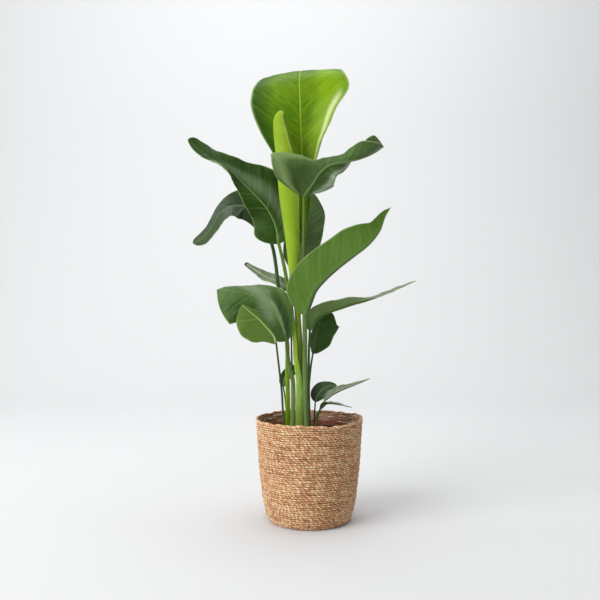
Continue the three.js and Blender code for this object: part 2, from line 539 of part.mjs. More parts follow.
/** How far the soil's surface is heaved up at a place. */
const heave = (x, y) => 1.3 * Math.sin(x / 9 + 1) * Math.cos(y / 7) + 0.7 * Math.sin(x / 4 - y / 5);

/** The soil fills the pot and has a plain hole for each stalk. */
function soilGeometry(stalks) {
  const bottom = POT_BOTTOM + POT_FLOOR + GAP;
  const side = POT_WALL + GAP;
  const [foot, , wall] = POT_SIDE;
  const surface = SOIL_SURFACE.map(([r, over]) => [r, SOIL_TOP + over]);
  const body = turned(
    [[0, bottom], [foot[0] - side, bottom], [wall[0] - side, wall[1]], ...surface],
    POT_SEGMENTS,
  );
  const p = body.attributes.position;
  for (let k = 0; k < p.count; k += 1) {
    const [x, y, z] = [p.getX(k), p.getY(k), p.getZ(k)];
    if (z > SOIL_TOP - 1) p.setZ(k, z + heave(x, y));
  }
  let soil = solid(body);
  for (const { x, y, z, radius } of stalks) {
    const depth = SOIL_TOP + HOLE_OVER - z;
    const hole = new THREE.CylinderGeometry(radius, radius, depth, HOLE_SIDES);
    hole.rotateX(Math.PI / 2).translate(x, y, z + depth / 2 - GAP);
    soil = soil.subtract(solid(hole));
  }
  return geometryOf(soil);
}

// ---------------------------------------------------------------- the plant in its pot and basket
const group = new THREE.Group();

function piece(name, geometry, color, roughness) {
  const material = new THREE.MeshStandardMaterial({ color, roughness, metalness: 0 });
  const mesh = new THREE.Mesh(geometry, material);
  mesh.name = name;
  group.add(mesh);
}

const feet = LEAVES.map((leaf) => ({ foot: leaf.stalk[0], radius: leaf.radius[0] }));
feet.push({ foot: ROLLED[0], radius: ROLLED[0][3] * ROLL_OUTER });
const holes = feet.map(({ foot, radius }) => {
  const { x, y, z } = at(foot);
  return { x, y, z, radius: HOLE_SPREAD * radius + HOLE_ROOM };
});

piece('basket', basketGeometry(), 0xb98f5e, 0.9);
piece('nursery_pot', potGeometry(), 0x8a4a34, 0.6);
piece('soil', soilGeometry(holes), 0x2e211a, 1);
piece('rolled_leaf', rolledGeometry(), 0x9fb83c, 0.5);
for (const leaf of LEAVES) piece(leaf.name, geometryOf(leafBody(leaf)), leaf.color, 0.45);

export default group;
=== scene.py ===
"""A bird of paradise plant in its nursery pot, standing in a coiled seagrass basket.

Metres, +Z up, origin on the ground at the centre of the basket's underside. The tables of the
leaves and of the basket's side are in millimetres, as the plant's own source has them.
"""

import logging
import math
from dataclasses import dataclass, field, replace
from enum import Enum
from typing import Callable, Sequence

import bpy
import numpy as np
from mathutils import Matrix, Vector

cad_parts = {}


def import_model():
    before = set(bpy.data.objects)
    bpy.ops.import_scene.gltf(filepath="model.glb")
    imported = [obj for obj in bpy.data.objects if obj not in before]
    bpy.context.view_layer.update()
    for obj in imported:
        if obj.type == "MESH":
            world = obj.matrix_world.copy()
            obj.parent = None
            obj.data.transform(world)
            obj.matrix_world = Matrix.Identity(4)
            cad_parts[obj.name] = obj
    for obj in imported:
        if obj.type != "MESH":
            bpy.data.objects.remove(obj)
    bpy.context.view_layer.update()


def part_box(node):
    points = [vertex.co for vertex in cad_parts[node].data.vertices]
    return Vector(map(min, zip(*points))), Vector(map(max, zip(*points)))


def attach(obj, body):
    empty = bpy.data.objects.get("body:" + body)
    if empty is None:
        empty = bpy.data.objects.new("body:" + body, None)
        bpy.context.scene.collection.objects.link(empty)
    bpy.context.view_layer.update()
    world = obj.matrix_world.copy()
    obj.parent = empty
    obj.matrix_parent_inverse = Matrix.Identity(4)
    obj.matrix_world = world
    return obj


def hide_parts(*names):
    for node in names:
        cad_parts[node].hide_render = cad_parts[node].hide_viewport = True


LOG = logging.getLogger("potted_plant")
MM = 0.001
CM_PER_M = 100
TURN = 2 * math.pi
SEED = 7
FRONT = (0.0, -1.0, 0.0)
UPWARDS = (0.0, 0.0, 1.0)

# Edges that are sharper than this many degrees are shaded sharp.
BLADE_SHARP = 50
STALK_SHARP = 60
CORD_SHARP = 80
POT_SHARP = 35
SOIL_SHARP = 60
FLOOR_SHARP = 60

Rows = Sequence[Sequence[float]]
Formula = Callable[[np.ndarray, np.ndarray], np.ndarray]
Outline = Callable[[np.ndarray, np.ndarray], tuple[np.ndarray, np.ndarray]]
Colour = tuple[float, float, float, float]


# ------------------------------------------------------------------ small sums
def colour(code: int) -> Colour:
    """Turns a colour written as on a screen into the linear one that a shader wants.

    Args:
        code: the colour as 0xRRGGBB.

    Returns:
        Red, green, blue and alpha, linear.
    """
    shares = [(code >> shift & 255) / 255 for shift in (16, 8, 0)]
    red, green, blue = (
        share / 12.92 if share <= 0.04045 else ((share + 0.055) / 1.055) ** 2.4 for share in shares
    )
    return (red, green, blue, 1.0)


def unit(vectors: np.ndarray) -> np.ndarray:
    """Gives vectors the length 1."""
    return vectors / np.maximum(np.linalg.norm(vectors, axis=-1, keepdims=True), 1e-12)


def square_to(vectors: np.ndarray, axes: np.ndarray) -> np.ndarray:
    """Takes from each vector its part along its unit axis, and gives the rest the length 1."""
    return unit(vectors - axes * np.sum(vectors * axes, axis=-1, keepdims=True))


def smooth(low: float, high: float, values: np.ndarray) -> np.ndarray:
    """Rises smoothly from 0 at low to 1 at high."""
    share = np.clip((values - low) / (high - low), 0, 1)
    return share * share * (3 - 2 * share)


def along(values: Sequence[float] | Rows | np.ndarray, t: np.ndarray) -> np.ndarray:
    """Reads a smooth value between evenly spaced ones.

    Args:
        values: numbers or rows of numbers, evenly spaced from 0 to 1.
        t: where to read, each from 0 to 1.

    Returns:
        A number or a row of numbers for each t.
    """
    table = np.asarray(values, float)
    last = len(table) - 1
    padded = np.concatenate([2 * table[:1] - table[1:2], table, 2 * table[-1:] - table[-2:-1]])
    place = np.clip(t, 0, 1) * last
    index = np.minimum(place.astype(int), last - 1)
    part = place - index
    if table.ndim > 1:
        part = part[:, None]
    before, start, end, after = (padded[index + shift] for shift in range(4))
    leaving = (end - before) / 2
    arriving = (after - start) / 2
    cubed = 2 * start - 2 * end + leaving + arriving
    squared = 3 * end - 3 * start - 2 * leaving - arriving
    return cubed * part**3 + squared * part**2 + leaving * part + start


def rounded(share: np.ndarray) -> np.ndarray:
    """The outline of a quarter circle: 0 at share 0 and 1 from share 1 on."""
    return np.sqrt(np.maximum(0, 1 - (1 - np.clip(share, 0, 1)) ** 2))


@dataclass(frozen=True)
class Elevation:
    """The front elevation, in which each leaf point is [x, height, depth] in millimetres.

    x and height are read at the plane of the stem by an eye in front of it, and depth is how far
    behind that plane the point lies.
    """

    eye_x: float = -18.6
    eye_height: float = 436.8
    eye_distance: float = 1450.0

    def place(self, rows: Rows) -> np.ndarray:
        """Turns points of the elevation into points in space.

        Args:
            rows: the points, each [x, height, depth] in millimetres.

        Returns:
            The points in metres, one row each.
        """
        x, height, depth = np.asarray(rows, float).T
        spread = 1 + depth / self.eye_distance
        across = self.eye_x + (x - self.eye_x) * spread
        up = self.eye_height + (height - self.eye_height) * spread
        return np.column_stack([across, depth, up]) * MM


ELEVATION = Elevation()


class Spine:
    """A smooth line through points, read by the share of its length."""

    STEPS = 800
    NEAR = 1e-3

    def __init__(self, points: np.ndarray) -> None:
        """Measures the line.

        Args:
            points: the points it goes through, in metres.
        """
        self.points = points
        self.knots = np.linspace(0, 1, self.STEPS + 1)
        line = along(points, self.knots)
        steps = np.linalg.norm(np.diff(line, axis=0), axis=1)
        self.run = np.concatenate([[0.0], np.cumsum(steps)])
        self.length = float(self.run[-1])

    def at(self, share: np.ndarray) -> np.ndarray:
        """Points at shares of the line's length."""
        return along(self.points, np.interp(share * self.length, self.run, self.knots))

    def tangent(self, share: np.ndarray) -> np.ndarray:
        """Unit directions of the line at shares of its length."""
        ahead, behind = (np.clip(share + near, 0, 1) for near in (self.NEAR, -self.NEAR))
        return unit(self.at(ahead) - self.at(behind))


# ------------------------------------------------------------------ mesh work
def deselect() -> None:
    """Leaves nothing selected."""
    bpy.ops.object.select_all(action="DESELECT")


def only(thing: bpy.types.Object) -> None:
    """Selects one object alone and makes it the active one.

    Args:
        thing: the object.
    """
    deselect()
    thing.select_set(True)
    bpy.context.view_layer.objects.active = thing


def corners(thing: bpy.types.Object) -> np.ndarray:
    """Reads the places of an object's vertices.

    Args:
        thing: the object.

    Returns:
        The places, one row each.
    """
    flat = np.empty(len(thing.data.vertices) * 3)
    thing.data.vertices.foreach_get("co", flat)
    return flat.reshape(-1, 3)


def move_corners(thing: bpy.types.Object, places: np.ndarray) -> None:
    """Puts an object's vertices at new places."""
    thing.data.vertices.foreach_set("co", places.astype(np.float32).ravel())
    thing.data.update()


def apply(thing: bpy.types.Object, kind: str, **settings: object) -> None:
    """Adds a modifier to an object, sets it and applies it.

    Args:
        thing: the object.
        kind: the modifier's type.
        settings: its values by name.
    """
    only(thing)
    modifier = thing.modifiers.new(kind.title(), kind)
    for name, value in settings.items():
        setattr(modifier, name, value)
    bpy.ops.object.modifier_apply(modifier=modifier.name)


def edit_all(thing: bpy.types.Object, operator: Callable[..., set[str]], **settings: object) -> None:
    """Runs an operator of edit mode on the whole of an object.

    Args:
        thing: the object.
        operator: the operator.
        settings: its values by name.
    """
    only(thing)
    bpy.ops.object.mode_set(mode="EDIT")
    bpy.ops.mesh.select_all(action="SELECT")
    operator(**settings)
    bpy.ops.object.mode_set(mode="OBJECT")


def weld(thing: bpy.types.Object, gap: float = 2e-6) -> None:
    """Merges an object's doubled vertices, which closes its seams and poles."""
    edit_all(thing, bpy.ops.mesh.remove_doubles, threshold=gap)


def face_outwards(thing: bpy.types.Object) -> None:
    """Turns the faces of a closed shape outwards."""
    edit_all(thing, bpy.ops.mesh.normals_make_consistent, inside=False)


def soften(thing: bpy.types.Object, degrees: float) -> None:
    """Shades an object smooth, with the edges sharper than an angle left sharp."""
    only(thing)
    bpy.ops.object.shade_smooth_by_angle(angle=math.radians(degrees))


def joined(pieces: Sequence[bpy.types.Object], name: str) -> bpy.types.Object:
    """Joins objects into the first of them.

    Args:
        pieces: the objects.
        name: the name of the joined one.

    Returns:
        The joined object.
    """
    deselect()
    for piece in pieces:
        piece.select_set(True)
    bpy.context.view_layer.objects.active = pieces[0]
    if len(pieces) > 1:
        bpy.ops.object.join()
    pieces[0].name = name
    pieces[0].data.name = name
    return pieces[0]


def close(thing: bpy.types.Object, degrees: float, gap: float = 2e-6) -> bpy.types.Object:
    """Closes a shape, turns its faces outwards and shades it.

    Args:
        thing: a shape whose ends and sides meet.
        degrees: edges sharper than this stay sharp.
        gap: how close two vertices are that become one, in metres.

    Returns:
        The same object.
    """
    weld(thing, gap)
    face_outwards(thing)
    soften(thing, degrees)
    return thing


def thicken(blade: bpy.types.Object, thickness: float, **settings: object) -> bpy.types.Object:
    """Gives a blade its thickness, with its second and third materials behind it and round its rim.

    Args:
        blade: a sheet with three materials.
        thickness: in metres.
        settings: more values of the modifier by name.

    Returns:
        The same object.
    """
    apply(
        blade, "SOLIDIFY", thickness=thickness, offset=0.0, use_even_offset=False,
        material_offset=1, material_offset_rim=2, **settings,
    )
    soften(blade, BLADE_SHARP)
    return blade


def stand_for(piece: bpy.types.Object, node: str) -> bpy.types.Object:
    """Puts a finished piece in the place of its solid.

    Args:
        piece: the piece.
        node: the solid's name.

    Returns:
        The same piece.
    """
    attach(piece, "root")
    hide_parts(node)
    return piece


def sheet(name: str, columns: int, rows: int, formula: Formula) -> bpy.types.Object:
    """Adds a grid and shapes it by a formula.

    Args:
        name: the object's name.
        columns: how many faces it has across.
        rows: how many faces it has from end to end.
        formula: gives the places for the shares across and along, each from 0 to 1.

    Returns:
        The grid, with those shares as its first UV map.
    """
    deselect()
    bpy.ops.mesh.primitive_grid_add(x_subdivisions=columns, y_subdivisions=rows, size=1)
    grid = bpy.context.active_object
    grid.name = name
    flat = corners(grid)
    move_corners(grid, formula(flat[:, 0] + 0.5, flat[:, 1] + 0.5))
    return grid


def lay_map(thing: bpy.types.Object, formula: Formula) -> None:
    """Gives an object a second UV map, in centimetres of its own surface.

    Args:
        thing: an object whose first UV map holds the shares across and along.
        formula: gives the centimetres across and along for those shares.
    """
    first = thing.data.uv_layers[0]
    shares = np.empty(len(first.data) * 2)
    first.data.foreach_get("uv", shares)
    shares = shares.reshape(-1, 2)
    second = thing.data.uv_layers.new(name=Shader.LAY)
    second.data.foreach_set("uv", formula(shares[:, 0], shares[:, 1]).astype(np.float32).ravel())


def ring_formula(centres: np.ndarray, ups: np.ndarray, tangents: np.ndarray, outline: Outline) -> Formula:
    """The formula that wraps a grid round a line.

    Args:
        centres: the line's points, one for each row of the grid.
        ups: the direction that angle 0 faces at each of them.
        tangents: the line's direction at each of them.
        outline: gives a ring's points across and up, from the angles and the row numbers.

    Returns:
        The formula for a grid with one row of corners for each point.
    """
    sides = np.cross(tangents, ups)

    def place(across: np.ndarray, on: np.ndarray) -> np.ndarray:
        """Wraps the grid round the line.

        Args:
            across: the shares round the line.
            on: the shares along it.

        Returns:
            The places.
        """
        row = np.rint(on * (len(centres) - 1)).astype(int)
        x, y = outline((across - 0.5) * TURN, row)
        return centres[row] + sides[row] * x[:, None] + ups[row] * y[:, None]

    return place


# ------------------------------------------------------------------ finishes
class Shader:
    """A material that is being built out of nodes."""

    LAY = "lay"
    SHARES = "UVMap"
    FIRST, SECOND, RESULT = 6, 7, 2

    def __init__(self, name: str) -> None:
        """Starts a material.

        Args:
            name: the material's name.
        """
        self.material = bpy.data.materials.new(name)
        self.material.use_nodes = True
        self.tree = self.material.node_tree
        self.surface = self.tree.nodes["Principled BSDF"]

    def node(self, kind: str, *feeds: object, **settings: object) -> bpy.types.Node:
        """Adds a node.

        Args:
            kind: its type, without the word that all types start with.
            feeds: what goes into its first inputs: a socket, a number, a colour or None.
            settings: its other values by name.

        Returns:
            The node.
        """
        made = self.tree.nodes.new("ShaderNode" + kind)
        for name, value in settings.items():
            setattr(made, name, value)
        for place, feed in enumerate(feeds):
            self.feed(made.inputs[place], feed)
        return made

    def feed(self, socket: bpy.types.NodeSocket, value: object) -> None:
        """Links a socket to an input, or sets the input's own value.

        Args:
            socket: the input.
            value: a socket, a number or a colour, or None to leave the input as it is.
        """
        if isinstance(value, bpy.types.NodeSocket):
            self.tree.links.new(value, socket)
        elif value is not None:
            socket.default_value = value

    def maths(self, operation: str, *feeds: object) -> bpy.types.NodeSocket:
        """The result of a Math node."""
        return self.node("Math", *feeds, operation=operation).outputs[0]

    def step(self, value: object, low: float, high: float) -> bpy.types.NodeSocket:
        """Rises smoothly from 0 where value is low to 1 where it is high."""
        rise = self.node("MapRange", value, low, high, 0.0, 1.0, interpolation_type="SMOOTHSTEP")
        return rise.outputs[0]

    def mixed(
        self, share: object, first: object, second: object, blend: str = "MIX"
    ) -> bpy.types.NodeSocket:
        """Mixes two colours.

        Args:
            share: how much of the second there is.
            first: a colour or a socket.
            second: a colour or a socket.
            blend: how they mix.

        Returns:
            The mixed colour's socket.
        """
        mix = self.node("Mix", data_type="RGBA", blend_type=blend)
        self.feed(mix.inputs["Factor"], share)
        self.feed(mix.inputs[self.FIRST], first)
        self.feed(mix.inputs[self.SECOND], second)
        return mix.outputs[self.RESULT]

    def tinted(self, face: object, tone: int, share: object, strength: float = 1.0) -> bpy.types.NodeSocket:
        """Lays a tone over a colour.

        Args:
            face: the colour so far.
            tone: the tone, as 0xRRGGBB.
            share: where it lies, from 0 to 1.
            strength: how much of it shows there.

        Returns:
            The new colour's socket.
        """
        if strength != 1.0:
            share = self.times(share, strength)
        return self.mixed(share, face, colour(tone))

    def times(self, value: object, factor: object) -> bpy.types.NodeSocket:
        """A value multiplied."""
        return self.maths("MULTIPLY", value, factor)

    def rest(self, value: object) -> bpy.types.NodeSocket:
        """What a share leaves of 1."""
        return self.maths("SUBTRACT", 1.0, value)

    def magnitude(self, value: object) -> bpy.types.NodeSocket:
        """A value without its sign."""
        return self.maths("ABSOLUTE", value)

    def split(self, vector: object) -> tuple[bpy.types.NodeSocket, ...]:
        """The three parts of a vector."""
        return tuple(self.node("SeparateXYZ", vector).outputs)

    def vector(self, *parts: object) -> bpy.types.NodeSocket:
        """A vector of up to three parts."""
        return self.node("CombineXYZ", *parts).outputs[0]

    def uv(self, name: str) -> bpy.types.NodeSocket:
        """The coordinates of one of the piece's UV maps."""
        return self.node("UVMap", uv_map=name).outputs[0]

    def place(self) -> bpy.types.NodeSocket:
        """The place on the piece, in metres."""
        return self.node("TexCoord").outputs["Object"]

    def noise(
        self, vector: object, scale: float, detail: float = 3.0, rough: float = 0.55
    ) -> bpy.types.NodeSocket:
        """A noise's value, from about 0.2 to 0.8.

        Args:
            vector: the coordinates.
            scale: how many lumps there are to one unit.
            detail: how many finer layers it has.
            rough: how strong these are.

        Returns:
            The value's socket.
        """
        made = self.node("TexNoise")
        self.feed(made.inputs["Vector"], vector)
        for name, value in (("Scale", scale), ("Detail", detail), ("Roughness", rough)):
            made.inputs[name].default_value = value
        return made.outputs[0]

    def bump(self, height: object, distance: float, strength: float = 1.0) -> None:
        """Roughens the surface by a height, after any bump that it has already.

        Args:
            height: the height's socket.
            distance: what a height of 1 is worth, in metres.
            strength: how much of it shows.
        """
        made = self.node("Bump")
        made.inputs["Strength"].default_value = strength
        made.inputs["Distance"].default_value = distance
        self.feed(made.inputs["Height"], height)
        normal = self.surface.inputs["Normal"]
        if normal.is_linked:
            self.tree.links.new(normal.links[0].from_socket, made.inputs["Normal"])
        self.tree.links.new(made.outputs[0], normal)

    def finish(self, base: object, roughness: object, **settings: object) -> bpy.types.Material:
        """Sets the surface and gives the material.

        Args:
            base: the colour or its socket.
            roughness: the roughness or its socket.
            settings: numbers and colours for the surface's other sockets, with _ for a space.

        Returns:
            The finished material.
        """
        self.feed(self.surface.inputs["Base Color"], base)
        self.feed(self.surface.inputs["Roughness"], roughness)
        for name, value in settings.items():
            self.surface.inputs[name.replace("_", " ")].default_value = value
        return self.material


class Age(Enum):
    """How old a leaf is."""

    NEW = "new_growth"
    YOUNG = "young_leaf"
    MATURE = "mature_leaf"
    SHADED = "shaded_leaf"


@dataclass(frozen=True)
class ToneSheenShadePatch:
    """A soft-edged patch of another tone along a line on a blade, used for painted sheen, painted shade and
    some of the blade's own tones.

    Its ends are [share across, share along], and the midrib is at 0.5 across. It is as wide as its
    reach on either side of the line, in the same shares.
    """

    start: tuple[float, float]
    end: tuple[float, float]
    reach: float
    tone: int
    strength: float = 0.6

    CORE = 0.1

    def over(self, shader: Shader, face: object, share: object, t: object) -> bpy.types.NodeSocket:
        """Lays the patch over a blade's colour.

        Args:
            shader: the material that is being built.
            face: the blade's colour so far.
            share: the share across the blade.
            t: the share along it.

        Returns:
            The colour with the patch in it.
        """
        start, end = (np.array([*point, 0.0]) for point in (self.start, self.end))
        line = end - start
        scaled = tuple(line / (line @ line))
        here = shader.vector(share, t, 0.0)
        place = shader.node("VectorMath", here, tuple(start), operation="SUBTRACT").outputs[0]
        dot = shader.node("VectorMath", place, scaled, operation="DOT_PRODUCT").outputs["Value"]
        on = shader.node("Math", dot, 1.0, operation="MULTIPLY", use_clamp=True).outputs[0]
        foot = shader.node("VectorMath", tuple(line), operation="SCALE")
        shader.feed(foot.inputs["Scale"], on)
        gap = shader.node("VectorMath", place, foot.outputs[0], operation="DISTANCE").outputs["Value"]
        near = shader.rest(shader.step(gap, self.CORE * self.reach, self.reach))
        return shader.tinted(face, self.tone, near, self.strength)


@dataclass(frozen=True)
class BladeFinish:
    """The colours of a leaf blade and its stalk, each as 0xRRGGBB, and how they lie.

    Attributes:
        deep: the darker colour of the upper side.
        light: the lighter colour of both sides.
        under: the darker colour of the underside.
        rib: the midrib's pale band and the pale veins.
        stalk: the upper part of the stalk.
        foot: its lower part.
        margin: the rim and a narrow band beside it.
        tip: the dry end of the blade.
        dry_from: the share along the blade at which that starts.
        gloss: the roughness of the upper side.
        rib_width: half the width of the midrib's band at its foot, in centimetres.
        keel: the midrib as it stands out under the blade, or 0 for the colour of the underside.
        greens: the shares along the stalk between which foot turns to stalk.
        rib_shows: how much of the band shows on the upper side and on the underside.
        slope: how far the veins climb for each step away from the midrib.
        specular: the strength of the blade's highlights.
        clouds: patches of other tones: painted sheen, painted shade and some of the blade's own tones.
    """

    deep: int
    light: int
    under: int
    rib: int
    stalk: int
    foot: int
    margin: int = 0x93A86A
    tip: int = 0x6B5A34
    dry_from: float = 0.985
    gloss: float = 0.36
    rib_width: float = 0.3
    keel: int = 0
    greens: tuple[float, float] = (0.1, 0.6)
    rib_shows: tuple[float, float] = (0.8, 0.35)
    slope: float = 0.85
    specular: float = 0.18
    clouds: tuple[ToneSheenShadePatch, ...] = ()

    IN_LINES = (0.6, 0.66, 0.5, 1.0)
    BETWEEN_LINES = (1.25, 1.2, 1.1, 1.0)

    def _veins(self, shader: Shader) -> tuple[bpy.types.NodeSocket, ...]:
        """The streaks that run from the midrib to the margin.

        Args:
            shader: the material that is being built.

        Returns:
            The streaks' value, a value that is nought along the main veins, the distance from the
            midrib, and the shares across and along.
        """
        out, on, _ = shader.split(shader.uv(Shader.LAY))
        share, t, _ = shader.split(shader.uv(Shader.SHARES))
        away = shader.magnitude(out)
        line = shader.maths("SUBTRACT", on, shader.times(away, self.slope))
        streaks = shader.noise(shader.vector(line, shader.times(away, 0.06), 0.0), 6.0, 4.0, 0.7)
        broad = shader.noise(shader.vector(line, shader.times(away, 0.02), 7.0), 1.1, 1.0, 0.5)
        return streaks, shader.maths("SUBTRACT", broad, 0.5), away, share, t

    def _side(
        self, name: str, deep: int, gloss: float, relief: float, band: float
    ) -> bpy.types.Material:
        """One side of the blade.

        Args:
            name: the material's name.
            deep: the darker colour of the side.
            gloss: its roughness.
            relief: how high the veins stand, in metres.
            band: how much the midrib's pale band shows.

        Returns:
            The material.
        """
        shader = Shader(name)
        streaks, bundles, away, share, t = self._veins(shader)
        mottle = shader.noise(shader.place(), 38.0, 3.0)
        patches = shader.noise(shader.place(), 11.0, 2.0)
        blend = shader.maths("ADD", shader.times(streaks, 0.7), shader.times(mottle, 0.15))
        blend = shader.maths("ADD", blend, shader.times(patches, 0.3))
        face = shader.mixed(shader.step(blend, 0.45, 0.72), colour(deep), colour(self.light))
        # Patches of painted sheen and painted shade, and some of the blade's own tones.
        for patch_of_tone_sheen_shade in self.clouds:
            face = patch_of_tone_sheen_shade.over(shader, face, share, t)
        vein = shader.rest(shader.step(shader.magnitude(bundles), 0.0, 0.012))
        face = shader.tinted(face, self.rib, vein, 0.3)
        width = shader.times(shader.maths("SUBTRACT", 1.08, t), self.rib_width)
        rib = shader.rest(shader.step(shader.maths("DIVIDE", away, width), 0.45, 1.15))
        face = shader.tinted(face, self.rib, rib, band)
        from_middle = shader.magnitude(shader.maths("SUBTRACT", share, 0.5))
        face = shader.tinted(face, self.margin, shader.step(from_middle, 0.478, 0.494), 0.7)
        ragged = shader.maths("ADD", t, shader.times(streaks, 0.012))
        dry = shader.step(ragged, self.dry_from + 0.004, self.dry_from + 0.012)
        face = shader.tinted(face, self.tip, dry)
        waxy = shader.maths("ADD", gloss - 0.08, shader.times(streaks, 0.14))
        shader.bump(streaks, relief)
        shader.bump(mottle, 0.0003, 0.35)
        return shader.finish(
            face, waxy, Specular_IOR_Level=self.specular, Subsurface_Weight=0.12, Subsurface_Scale=0.0015
        )

    def upper(self, name: str) -> bpy.types.Material:
        """The waxy upper side."""
        return self._side(name, self.deep, self.gloss, 0.0006, self.rib_shows[0])

    def lower(self, name: str) -> bpy.types.Material:
        """The duller underside, on which the veins stand out more."""
        return self._side(name, self.under, self.gloss + 0.14, 0.0009, self.rib_shows[1])

    def edge(self, name: str) -> bpy.types.Material:
        """The thin pale margin, browner in places.

        Args:
            name: the material's name.

        Returns:
            The material.
        """
        shader = Shader(name)
        brown = shader.step(shader.noise(shader.place(), 160.0, 3.0), 0.62, 0.8)
        return shader.finish(shader.mixed(brown, colour(self.margin), colour(self.tip)), 0.5, IOR=1.45)

    def stem(self, name: str, blade_from: float) -> bpy.types.Material:
        """The fleshy stalk, finely lined along its length, and the keel that it runs on as.

        Args:
            name: the material's name.
            blade_from: the share of the tube at which the blade begins.

        Returns:
            The material.
        """
        shader = Shader(name)
        _, t, _ = shader.split(shader.uv(Shader.SHARES))
        out, on, _ = shader.split(shader.uv(Shader.LAY))
        lines = shader.noise(shader.vector(out, shader.times(on, 0.05), 0.0), 9.0, 4.0, 0.65)
        wander = shader.times(shader.noise(shader.place(), 24.0, 3.0), 0.1)
        rise = shader.step(shader.maths("ADD", t, wander), *self.greens)
        face = shader.mixed(rise, colour(self.foot), colour(self.stalk))
        face = shader.tinted(face, self.keel or self.under, shader.step(t, blade_from, blade_from + 0.03))
        shade = shader.mixed(shader.step(lines, 0.35, 0.7), self.IN_LINES, self.BETWEEN_LINES)
        face = shader.mixed(1.0, face, shade, "MULTIPLY")
        shader.bump(lines, 0.0004, 0.7)
        return shader.finish(
            face, 0.46, Specular_IOR_Level=0.28, Subsurface_Weight=0.1, Subsurface_Scale=0.002
        )


@dataclass(frozen=True)
class SeagrassFinish:
    """Dried seagrass, twisted into cord.

    Attributes:
        fleck: the palest fibres.
        pale: the palest strands.
        tan: most strands.
        brown: the darker strands and fibres.
        groove: painted shade in the hollows between strands and between rows.
        inner: painted shade on the side that faces into the basket, as what that side keeps of its colour.
        plies: how many strands the cord has.
    """

    fleck: int = 0xFFE8C0
    pale: int = 0xFADAAC
    tan: int = 0xECB47E
    brown: int = 0xB07446
    groove: int = 0x4A2C18
    inner: tuple[float, ...] = (0.74, 0.68, 0.66, 1.0)
    plies: int = 2

    def material(self, name: str) -> bpy.types.Material:
        """Cord whose map gives the share round it and how far it is wound, in turns.

        Args:
            name: the material's name.

        Returns:
            The material.
        """
        shader = Shader(name)
        out, on, _ = shader.split(shader.uv(Shader.LAY))
        ply = shader.times(shader.maths("ADD", out, on), self.plies)
        hollow = shader.magnitude(shader.maths("SUBTRACT", shader.maths("FRACT", ply), 0.5))
        strand = shader.node("TexWhiteNoise", noise_dimensions="1D")
        shader.feed(strand.inputs["W"], shader.maths("FLOOR", ply))
        skew = shader.times(ply, 3.0)
        straw = shader.noise(shader.vector(skew, shader.times(on, 0.8), 0.0), 1.3, 2.0, 0.6)
        fibres = shader.noise(shader.vector(skew, shader.times(on, 0.5), 3.0), 6.0, 3.0, 0.7)
        batch = shader.noise(shader.vector(shader.times(on, 0.07), 0.0, 5.0), 1.0, 2.0)
        tone = shader.maths("ADD", shader.times(strand.outputs["Value"], 0.3), straw)
        tone = shader.maths("ADD", tone, shader.times(shader.maths("SUBTRACT", batch, 0.5), 0.4))
        face = shader.mixed(shader.step(tone, 0.45, 0.64), colour(self.brown), colour(self.tan))
        face = shader.tinted(face, self.pale, shader.step(tone, 0.66, 0.84))
        face = shader.tinted(face, self.brown, shader.step(fibres, 0.52, 0.7), 0.5)
        face = shader.tinted(face, self.fleck, shader.step(fibres, 0.40, 0.30))
        # Painted shade: dark in the hollows between the strands of the cord.
        face = shader.tinted(face, self.groove, shader.step(hollow, 0.3, 0.48), 0.85)
        # Painted shade: darker along the cord's top and underside, where the rows press together.
        row_seam_shade = shader.magnitude(shader.maths("COSINE", shader.times(out, TURN)))
        face = shader.tinted(face, self.groove, shader.step(row_seam_shade, 0.5, 0.9), 0.35)
        # Painted shade: the side that faces into the basket is darker.
        to_inside = shader.maths("SUBTRACT", out, 0.75)
        inward = shader.maths("COSINE", shader.times(to_inside, TURN))
        shaded = shader.mixed(1.0, face, self.inner, "MULTIPLY")
        face = shader.mixed(shader.step(inward, 0.0, 0.6), face, shaded)
        shader.bump(fibres, 0.0006, 0.8)
        return shader.finish(face, 0.72, Sheen_Weight=0.1, Sheen_Roughness=0.6)


@dataclass(frozen=True)
class PotFinish:
    """Thin red-brown nursery plastic, dusty with soil."""

    plastic: int = 0x8E4732
    dust: int = 0x5A3A2A

    def material(self, name: str) -> bpy.types.Material:
        """The plastic.

        Args:
            name: the material's name.

        Returns:
            The material.
        """
        shader = Shader(name)
        dust = shader.noise(shader.place(), 45.0, 4.0, 0.65)
        face = shader.mixed(shader.step(dust, 0.45, 0.7), colour(self.plastic), colour(self.dust))
        shader.bump(shader.noise(shader.place(), 900.0, 2.0), 0.0001, 0.4)
        return shader.finish(face, shader.step(dust, -0.4, 1.2), IOR=1.48)


@dataclass(frozen=True)
class SoilFinish:
    """Dark, crumbly potting soil with a few paler bits of fibre."""

    dark: int = 0x1C130D
    crumb: int = 0x3E2C20
    fibre: int = 0x7A5E42

    def material(self, name: str) -> bpy.types.Material:
        """The soil.

        Args:
            name: the material's name.

        Returns:
            The material.
        """
        shader = Shader(name)
        crumbs = shader.noise(shader.place(), 320.0, 5.0, 0.7)
        specks = shader.noise(shader.place(), 700.0, 2.0)
        face = shader.mixed(shader.step(crumbs, 0.35, 0.65), colour(self.dark), colour(self.crumb))
        face = shader.tinted(face, self.fibre, shader.step(specks, 0.68, 0.74))
        shader.bump(crumbs, 0.002)
        return shader.finish(face, 0.95)


# ------------------------------------------------------------------ leaves
@dataclass(frozen=True)
class Half:
    """Half a blade, from its base to its tip.

    Attributes:
        width: its widths in millimetres.
        lift: how far it leaves the midrib towards the upper side, in degrees.
        curl: how far it bends on from there to the margin, in degrees.
        ends: the shares of the blade over which it rounds off at the base and at the tip.
    """

    width: Sequence[float]
    lift: Sequence[float]
    curl: Sequence[float]
    ends: tuple[float, float]


